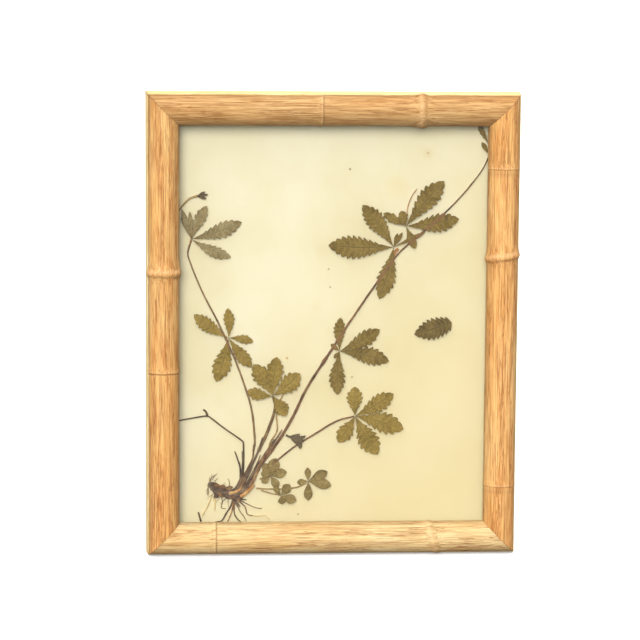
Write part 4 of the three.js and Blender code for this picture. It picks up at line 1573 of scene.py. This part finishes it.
@dataclass
class PressedPlant:
    """The dried plant on the sheet: rootstock, stems, leaves and what fell off them. Sizes are in mm."""

    bench: Bench
    stem_depth: float = 8.0
    stem_half: float = 0.4
    leaf_thickness: float = 0.28
    blade_fullness: float = 1.55
    blade_roundness: float = 0.85
    tooth_start: float = 0.22
    tooth_end: float = 0.97
    tooth_rows: tuple[tuple[float, float], ...] = (
        (0.0, 0.79), (0.3, 0.94), (0.58, 1.05), (0.8, 1.12), (0.88, 1.12),
    )
    vein_lean: float = 0.45
    blade_columns: int = 14
    lowest: float = 7.75
    highest: float = 10.05
    rhizome_depth: float = 8.65
    rhizome_half: float = 1.0
    rhizome_sides: int = 28
    rhizome_step: float = 0.45
    bundle_depth: float = 8.3
    bundle_rise: float = 0.07
    bundle_half: float = 0.5
    root_depth: float = 8.05
    root_half: float = 0.35
    husk_count: int = 22
    husk_barks: tuple[Bark, ...] = (Bark.DARK, Bark.DARK, Bark.BROWN, Bark.DARK, Bark.HUSK)
    fibre_count: int = 18
    fibre_depth: float = 8.1
    fibre_half: float = 0.25
    scrap_rows: int = 36
    scrap_columns: int = 18
    scrap_crumple: float = 0.7
    stem_line: list[Vector] = field(default_factory=list)
    blades: dict[str, bpy.types.Material] = field(default_factory=dict)

    def tube_rings(
        self, strand: Strand, depth: float, half: float, sides: int, seed: float, step: float = 1.4
    ) -> tuple[list[list[Vector]], float]:
        """Trace the rings of a flattened stalk.

        Args:
            strand: The stalk.
            depth: The depth of its middle.
            half: Half its thickness.
            sides: The points of each ring.
            seed: What sets its lumps apart from another's.
            step: The distance between rings.

        Returns:
            The rings, and the stalk's length.
        """
        walk = follow(strand.route, step)
        rings = []
        for order, (place, way) in enumerate(walk):
            share = order / (len(walk) - 1)
            width = strand.width + (strand.tip - strand.width) * share
            knots = sum(0.5 * hump(share, knot, 0.012) for knot in strand.knots)
            width *= 1 + 0.14 * mottle(order * 0.35, seed) + knots
            across = Vector((-way.y, way.x))
            sway = across * 0.12 * width * mottle(order * 0.2, seed, 5.0)
            ring = []
            for i in range(sides):
                turn = 2 * math.pi * i / sides
                ridge = 1 + 0.09 * math.cos(3 * turn + 0.15 * order)
                ridge = ridge + 0.06 * mottle(order * 0.6, i * 2.1, seed)
                flat = place + sway + across * (width / 2 * math.cos(turn) * ridge)
                thick = min(half, width * 0.55) * math.sin(turn) * ridge
                ring.append(self.bench.at(flat.x, flat.y, depth + thick))
            rings.append(ring)
        return rings, (len(walk) - 1) * step

    def add_strand(
        self, piece: Piece, strand: Strand, depth: float, half: float, finish: int = 0, sides: int = 12
    ) -> None:
        """Add a stalk to a piece.

        Args:
            piece: The piece that it belongs to.
            strand: The stalk.
            depth: The depth of its middle.
            half: Half its thickness.
            finish: The index of the finish.
            sides: The points of each ring.
        """
        seed = strand.route[0][0] * 0.37 + strand.route[-1][1] * 0.11
        rings, length = self.tube_rings(strand, depth, half, sides, seed)
        piece.tube(rings, finish, length)

    def spread_at(self, leaflet: Leaflet, u: float) -> float:
        """Give half the width of a leaflet at a share of its length, before its teeth."""
        swell = max(math.sin(math.pi * u**self.blade_fullness), 0.0)
        return leaflet.width / 2 * swell**self.blade_roundness

    def leaflet_rows(self, leaflet: Leaflet) -> list[tuple[float, float, float]]:
        """List a leaflet's rows from its base to its tip.

        Args:
            leaflet: The leaflet.

        Returns:
            Each row's share of the length, its half width in mm, and its place among the teeth.
        """
        if not leaflet.teeth:
            shares = [(1 - math.cos(math.pi * i / 16)) / 2 for i in range(17)]
            return [(u, self.spread_at(leaflet, u), 4 * u) for u in shares]
        pitch = (self.tooth_end - self.tooth_start) / leaflet.teeth
        base = [(u, self.spread_at(leaflet, u), u / pitch * 0.6) for u in (0.0, 0.04, 0.09, 0.15, 0.2)]
        rows = base
        for tooth in range(leaflet.teeth):
            for part, factor in self.tooth_rows:
                u = self.tooth_start + pitch * (tooth + part)
                rows.append((u, self.spread_at(leaflet, u) * factor, tooth + 1.12 + part))
        last = leaflet.teeth + 1.12
        rows.append((self.tooth_end, self.spread_at(leaflet, self.tooth_end) * 0.9, last))
        rows.append((1.0, 0.0, last + 0.3))
        return [row for row in rows if row[0] >= leaflet.torn]

    def stem_gap(self, flat: Vector) -> float:
        """Give the squared distance on the sheet from a place to the nearest stem."""
        return min((flat - place).length_squared for place in self.stem_line)

    def add_leaflet(
        self, piece: Piece, leaf: Leaf, order: int, crumple: float = 1.0, finish: int = 0
    ) -> None:
        """Add one leaflet of a leaf: a thin, toothed, wrinkled blade.

        Args:
            piece: The piece that it belongs to.
            leaf: The leaf.
            order: The leaflet's place in the leaf.
            crumple: How strongly it wrinkles.
            finish: The index of the finish.
        """
        leaflet = leaf.leaflets[order]
        heart, tip = Vector(leaf.heart), Vector(leaflet.tip)
        way = (tip - heart).normalized()
        across = Vector((-way.y, way.x))
        length = (tip - heart).length
        chance = random.Random(f"{leaf.node} {order}")
        seed = chance.uniform(0, 90)
        fold, curl = chance.uniform(-0.3, 0.3), chance.uniform(-0.1, 0.3)
        base = leaf.depth + 0.05 * order
        columns = [2 * i / self.blade_columns - 1 for i in range(self.blade_columns + 1)]
        near_stem = [p for p in self.stem_line if (p - (heart + tip) / 2).length < length / 2 + 8]
        top = self.stem_depth + self.stem_half + 2.0 * self.leaf_thickness
        net, teeth, shades = [], [], []
        for u, half, tooth in self.leaflet_rows(leaflet):
            teeth.append(tooth)
            row = []
            for v in columns:
                lean = self.vein_lean * half * (1 - abs(v) ** 1.2) if leaflet.teeth else 0.0
                bow = leaflet.bend * 4 * u * (1 - u)
                flat = heart + way * (length * u - lean) + across * (half * v + bow)
                rise = base - 0.55 * ease(0.1, 1.0, u)
                rise += fold * abs(v) * min(half / 4, 1.0) + curl * v**4
                rise += 0.1 * math.cos(2 * math.pi * tooth) * (1 - 0.4 * abs(v)) * min(half / 3, 1)
                rise += crumple * 0.22 * mottle(flat.x * 0.14, flat.y * 0.14, seed)
                rise += crumple * 0.1 * mottle(flat.x * 0.5, flat.y * 0.5, seed)
                rise -= 0.12 * hump(v, 0, 0.1)
                gap = self.stem_gap(flat) if near_stem else 1e3
                rise += max(top - rise, 0.0) * math.exp(-gap / 1.6)
                shades.append(math.exp(-gap / 0.9))
                rise = min(max(rise, self.lowest), self.highest)
                row.append(self.bench.at(flat.x, flat.y, rise))
            net.append(row)
        piece.blade(net, self.leaf_thickness * MM, finish, (columns, teeth), shades)

    def build_leaf(self, leaf: Leaf, stalk: bpy.types.Material, sheath: bpy.types.Material) -> None:
        """Model one leaf, with its stalk and loose strands, in place of its solid.

        Args:
            leaf: The leaf.
            stalk: The material of its stalk.
            sheath: The material of its loose strands.
        """
        slot = "dried_base_leaf" if "base" in leaf.node else "dried_leaf"
        piece = Piece(f"dried_{leaf.node}", slot, (self.blades[leaf.blade.name], stalk, sheath))
        if leaf.stalk:
            self.add_strand(piece, leaf.stalk, self.stem_depth + 0.2, self.stem_half, 1, 10)
        for order in range(len(leaf.leaflets)):
            self.add_leaflet(piece, leaf, order)
        for strand in leaf.extras:
            self.add_strand(piece, strand, self.stem_depth + 0.5, self.stem_half, 2, 8)
        piece.set_down(leaf.node, crease=60)

    def build_shrivelled(self, finish: bpy.types.Material) -> None:
        """Model the shrivelled leaf, a crumpled scrap between two edges with a stub of stalk.

        Args:
            finish: The material.
        """
        piece = Piece("dried_shrivelled_leaf", "dried_root", (finish,))
        rows, columns, crumple = self.scrap_rows, self.scrap_columns, self.scrap_crumple
        net = []
        for j in range(rows + 1):
            upper, lower = (along_edge(edge, max(j / rows, 0.012)) for edge in SHRIVELLED_EDGES)
            row = []
            for i in range(columns + 1):
                v = i / columns
                flat = lower.lerp(upper, v)
                ragged = 0.35 * mottle(j * 0.8, i * 0.5, 4.4) * (abs(2 * v - 1) ** 6 + (j / rows) ** 12)
                rise = UNDER + crumple * mottle(flat.x * 0.22, flat.y * 0.22, 8.1)
                rise += 0.45 * crumple * mottle(flat.x * 0.7, flat.y * 0.7, 2.7)
                rise = min(max(rise, self.lowest), self.highest)
                row.append(self.bench.at(flat.x + ragged, flat.y + ragged, rise))
            net.append(row)
        across = [2 * i / columns - 1 for i in range(columns + 1)]
        along = [5 * j / rows for j in range(rows + 1)]
        piece.blade(net, self.leaf_thickness * MM, 0, (across, along))
        self.add_strand(piece, SHRIVELLED_STALK, self.stem_depth + 0.3, self.stem_half)
        piece.set_down("shrivelled_leaf", crease=60)

    def build_stems(
        self,
        brown: bpy.types.Material,
        olive: bpy.types.Material,
        pale: bpy.types.Material,
        umber: bpy.types.Material,
    ) -> None:
        """Model the stems and thin stalks, each in place of its solid.

        Args:
            brown: The material of the main stem.
            olive: The material of the left stem.
            pale: The material of the thin stalk.
            umber: The material of the runner, the dry spike and the loose root.
        """
        plans: tuple[tuple[str, bpy.types.Material, tuple[Strand, ...]], ...] = (
            ("main_stem", brown, (MAIN_STEM,)),
            ("left_stem", olive, (LEFT_STEM,)),
            ("runner", umber, (RUNNER, RUNNER_BRACT)),
            ("dry_spike", umber, (DRY_SPIKE,)),
            ("thin_stalk", pale, (THIN_STALK,)),
            ("loose_root", umber, (LOOSE_ROOT,)),
        )
        for node, finish, strands in plans:
            piece = Piece(f"dried_{node}", "dried_stem", (finish,))
            for strand in strands:
                self.add_strand(piece, strand, self.stem_depth, self.stem_half)
            piece.set_down(node)

    def build_bud(self, stalk: bpy.types.Material, sepal: bpy.types.Material) -> None:
        """Model the flower bud beside the left rail: a curved stalk and its sepals.

        Args:
            stalk: The material of the stalk.
            sepal: The material of the sepals.
        """
        piece = Piece("dried_flower_bud", "dried_stem", (stalk, sepal))
        self.add_strand(piece, BUD_STALK, self.stem_depth, self.stem_half)
        base = BUD_STALK.route[-2]
        sepals = Leaf("flower_bud", base, UNDER, tuple(Leaflet(tip, 1.7) for tip in BUD_SEPALS), OLIVE)
        for order in range(len(sepals.leaflets)):
            self.add_leaflet(piece, sepals, order, 0.6, 1)
        piece.set_down("flower_bud", crease=60)

    def build_rootstock(self) -> None:
        """Model the scaly rootstock with the bundled stem bases, roots, husks and fibres."""
        kinds = list(Bark)
        finishes = [StalkFinish(*kind.value).material() for kind in kinds]
        piece = Piece("dried_rhizome", "dried_root", finishes)
        depth, half, around = self.rhizome_depth, self.rhizome_half, self.rhizome_sides
        walk = follow(RHIZOME.route, self.rhizome_step)
        rings = []
        for order, (place, way) in enumerate(walk):
            share = order / (len(walk) - 1)
            girth = (RHIZOME.width + (RHIZOME.tip - RHIZOME.width) * share) * ease(-0.25, 0.3, share)
            girth *= 0.9 + 0.16 * (1 - (order * 0.13) % 1.0)
            across = Vector((-way.y, way.x))
            ring = []
            for i in range(around):
                turn = 2 * math.pi * i / around
                bumps = (place.x * 0.5 + math.cos(turn) * 1.4, place.y * 0.5 + math.sin(turn) * 1.4)
                lump = 1 + 0.24 * mottle(*bumps)
                lump += 0.1 * mottle(place.x * 1.6 + math.cos(turn) * 3, math.sin(turn) * 3, 6.0)
                flat = place + across * (girth / 2 * math.cos(turn) * lump)
                ring.append(self.bench.at(flat.x, flat.y, depth + half * min(lump, 1.2) * math.sin(turn)))
            rings.append(ring)
        piece.tube(rings, 0, len(walk) * self.rhizome_step)
        for order, (kind, strand) in enumerate(BUNDLE):
            depth = self.bundle_depth + self.bundle_rise * order
            self.add_strand(piece, strand, depth, self.bundle_half, kinds.index(kind), 12)
        for kind, strand in ROOTS:
            self.add_strand(piece, strand, self.root_depth, self.root_half, kinds.index(kind), 9)
        self.add_husks(piece)
        self.add_fibres(piece)
        piece.set_down("rhizome", crease=60)

    def add_husks(self, piece: Piece) -> None:
        """Add the overlapping old leaf bases that cover the rootstock and the stem bases.

        Args:
            piece: The rootstock's piece.
        """
        chance = random.Random("husks")
        walk = follow(RHIZOME.route, 1.0)
        for order in range(self.husk_count):
            place, way = walk[int(order / self.husk_count * (len(walk) - 2)) + 1]
            across = Vector((-way.y, way.x))
            heart = place + across * chance.uniform(-2.8, 2.8) - way * 1.0
            aim = (way + across * chance.uniform(-0.7, 0.7)).normalized()
            tip = heart + aim * chance.uniform(4.0, 7.5)
            leaflet = Leaflet((tip.x, tip.y), chance.uniform(1.6, 3.0), 0, chance.uniform(-0.5, 0.5))
            husk = Leaf(f"husk {order}", (heart.x, heart.y), chance.uniform(9.4, 9.9), (leaflet,), OLIVE)
            kind = self.husk_barks[order % len(self.husk_barks)]
            self.add_leaflet(piece, husk, 0, 1.0, list(Bark).index(kind))

    def add_fibres(self, piece: Piece) -> None:
        """Add the fine broken root hairs around the rootstock.

        Args:
            piece: The rootstock's piece.
        """
        chance = random.Random("fibres")
        walk = follow(RHIZOME.route, 1.0)
        for order in range(self.fibre_count):
            place, way = walk[chance.randrange(len(walk))]
            across = Vector((-way.y, way.x)) * chance.choice((-1, 1, -1))
            start = place + across * chance.uniform(1.8, 3.2)
            turn = chance.uniform(-0.6, 0.6)
            end = start + (across + way * turn) * chance.uniform(2.0, 6.0)
            bend = start.lerp(end, 0.5) + way * chance.uniform(-0.9, 0.9)
            route = tuple((p.x, p.y) for p in (start, bend, end))
            width = chance.uniform(0.25, 0.45)
            kind = Bark.BROWN if order % 3 else Bark.DARK
            fibre = Strand(route, width, width * 0.6)
            self.add_strand(piece, fibre, self.fibre_depth, self.fibre_half, list(Bark).index(kind), 6)

    def build(self) -> None:
        """Model the whole plant."""
        routes = (MAIN_STEM.route, LEFT_STEM.route)
        self.stem_line = [place for route in routes for place, _ in follow(route, 0.8)]
        self.blades = {kind.name: kind.material() for kind in (OLIVE, TAWNY, ASHEN, DUSKY, STRAW)}
        brown = StalkFinish("stem_brown", "452c1a", "704c33", "9b7656").material()
        olive = StalkFinish("stem_olive", "523a22", "7d603f", "a48861").material()
        umber = StalkFinish("stem_umber", "352518", "584230", "7c664a").material()
        pale = StalkFinish("stem_pale", "7a5c36", "a0814f", "c1a571").material()
        sheath = StalkFinish("leaf_sheath", "80502c", "b47c48", "d6a670").material()
        withered = LeafFinish("leaf_withered", "3c3022", "62523c", "877558", 33.0).material()
        self.build_rootstock()
        self.build_stems(brown, olive, pale, umber)
        self.build_bud(pale, withered)
        stalks = {leaf.node: pale for leaf in LEAVES if "base" in leaf.node}
        stalks["leaf_centre"] = olive
        for leaf in LEAVES:
            self.build_leaf(leaf, stalks.get(leaf.node, brown), sheath)
        self.build_shrivelled(withered)


@dataclass
class Studio:
    """A white floor, soft daylight from above and the camera of the photograph. Sizes are in metres."""

    bench: Bench
    floor_size: float = 60.0
    floor_bounce: float = 0.25
    sky_strength: float = 0.35
    sky_seen: float = 0.8
    key_strength: float = 3.3
    key_spread: float = 75.0
    key_height: float = 48.0
    key_side: float = -16.0
    fill_strength: float = 2.95
    fill_spread: float = 40.0
    fill_height: float = 20.0
    fill_side: float = -12.0
    back_strength: float = 1.6
    back_spread: float = 90.0
    back_height: float = 40.0
    back_side: float = 160.0
    floor_glow: float = 0.3
    camera_yaw: float = 4.0
    camera_pitch: float = 7.82
    camera_roll: float = 0.40
    camera_distance: float = 1.7
    camera_aim: Point = (-7.16, 1.74)
    image_widths: float = 4.2621
    sensor: float = 36.0

    def build_floor(self, height: float) -> None:
        """Lay the floor under the frame, at a height.

        Args:
            height: The height in metres.
        """
        finish = Finish("studio_floor")
        path = finish.node("ShaderNodeLightPath", {})
        dim = (self.floor_bounce, self.floor_bounce, self.floor_bounce, 1.0)
        material = finish.dress(
            Base_Color=finish.mix(path.outputs["Is Camera Ray"], dim, (0.98, 0.98, 0.98, 1.0)),
            Roughness=0.9,
            Specular_IOR_Level=0.0,
            Emission_Color=(1.0, 1.0, 1.0, 1.0),
            Emission_Strength=finish.math("MULTIPLY", path.outputs["Is Camera Ray"], self.floor_glow),
        )
        bm = bmesh.new()
        bmesh.ops.create_grid(bm, x_segments=1, y_segments=1, size=self.floor_size / 2)
        bmesh.ops.translate(bm, verts=bm.verts, vec=(0, 0, height))
        mesh = bpy.data.meshes.new("studio_floor")
        bm.to_mesh(mesh)
        bm.free()
        mesh.materials.append(material)
        floor = bpy.data.objects.new("studio_floor", mesh)
        bpy.context.scene.collection.objects.link(floor)
        floor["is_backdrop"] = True

    def build_light(self) -> None:
        """Hang the sky, pale grey to the camera, and the wide lamps before and behind the frame."""
        scene = bpy.context.scene
        world = bpy.data.worlds.new("studio_sky")
        world.use_nodes = True
        tree = world.node_tree
        sky = tree.nodes["Background"]
        sky.inputs["Color"].default_value = (1.0, 1.0, 1.0, 1.0)
        sky.inputs["Strength"].default_value = self.sky_strength
        seen = tree.nodes.new("ShaderNodeBackground")
        seen.inputs["Color"].default_value = (self.sky_seen, self.sky_seen, self.sky_seen, 1.0)
        path = tree.nodes.new("ShaderNodeLightPath")
        blend = tree.nodes.new("ShaderNodeMixShader")
        tree.links.new(path.outputs["Is Camera Ray"], blend.inputs[0])
        tree.links.new(sky.outputs[0], blend.inputs[1])
        tree.links.new(seen.outputs[0], blend.inputs[2])
        tree.links.new(blend.outputs[0], tree.nodes["World Output"].inputs["Surface"])
        scene.world = world
        self.hang_lamp("window", self.key_strength, self.key_spread, self.key_height, self.key_side)
        self.hang_lamp("room", self.fill_strength, self.fill_spread, self.fill_height, self.fill_side)
        self.hang_lamp(
            "back_window", self.back_strength, self.back_spread, self.back_height, self.back_side
        )

    def hang_lamp(self, name: str, strength: float, spread: float, height: float, side: float) -> None:
        """Hang a wide lamp that the pane neither mirrors nor doubles.

        Args:
            name: The lamp's name.
            strength: Its light in watts a square metre.
            spread: The angle that it spans, in degrees.
            height: Its angle above the floor, in degrees.
            side: Its angle round from the viewer, in degrees, to the right.
        """
        lamp = bpy.data.lights.new(name, "SUN")
        lamp.energy = strength
        lamp.angle = math.radians(spread)
        lamp.color = (1.0, 0.985, 0.96)
        window = bpy.data.objects.new(name, lamp)
        rise, turn = math.radians(height), math.radians(side)
        level = math.cos(rise)
        towards = Vector((math.sin(turn) * level, -math.cos(turn) * level, math.sin(rise)))
        window.rotation_mode = "QUATERNION"
        window.rotation_quaternion = towards.to_track_quat("Z", "Y")
        window.visible_transmission = False
        window.visible_glossy = False
        bpy.context.scene.collection.objects.link(window)

    def build_camera(self) -> None:
        """Set up the camera where the photograph was taken from."""
        yaw, pitch, roll = (math.radians(a) for a in (self.camera_yaw, self.camera_pitch, self.camera_roll))
        ahead = Vector((math.sin(yaw) * math.cos(pitch), math.cos(yaw) * math.cos(pitch), -math.sin(pitch)))
        level = Vector((math.cos(yaw), -math.sin(yaw), 0))
        upright = level.cross(ahead)
        right = level * math.cos(roll) + upright * math.sin(roll)
        up = upright * math.cos(roll) - level * math.sin(roll)
        lens = bpy.data.cameras.new("camera")
        lens.sensor_width = self.sensor
        lens.lens = self.image_widths * self.sensor
        lens.clip_end = self.floor_size
        camera = bpy.data.objects.new("camera", lens)
        turn = Matrix((right, up, -ahead)).transposed().to_4x4()
        aim = self.bench.at(*self.camera_aim, 0)
        camera.matrix_world = Matrix.Translation(aim - ahead * self.camera_distance) @ turn
        scene = bpy.context.scene
        scene.collection.objects.link(camera)
        scene.camera = camera
        scene.view_settings.view_transform = "Standard"

    def build(self, floor: float) -> None:
        """Build the studio round the frame, with its floor at a height.

        Args:
            floor: The floor's height in metres.
        """
        self.build_camera()
        self.build_light()
        self.build_floor(floor)


def main() -> None:
    """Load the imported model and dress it."""
    logging.basicConfig(level=logging.INFO, format="%(message)s")
    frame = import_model()
    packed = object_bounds()
    bench = Bench.from_frame()
    Studio(bench).build(packed[0].z)
    CaneFrame(bench).build()
    Backing(bench, frame["nodes"]).build()
    PressedPlant(bench).build()


if __name__ == "__main__":
    main()
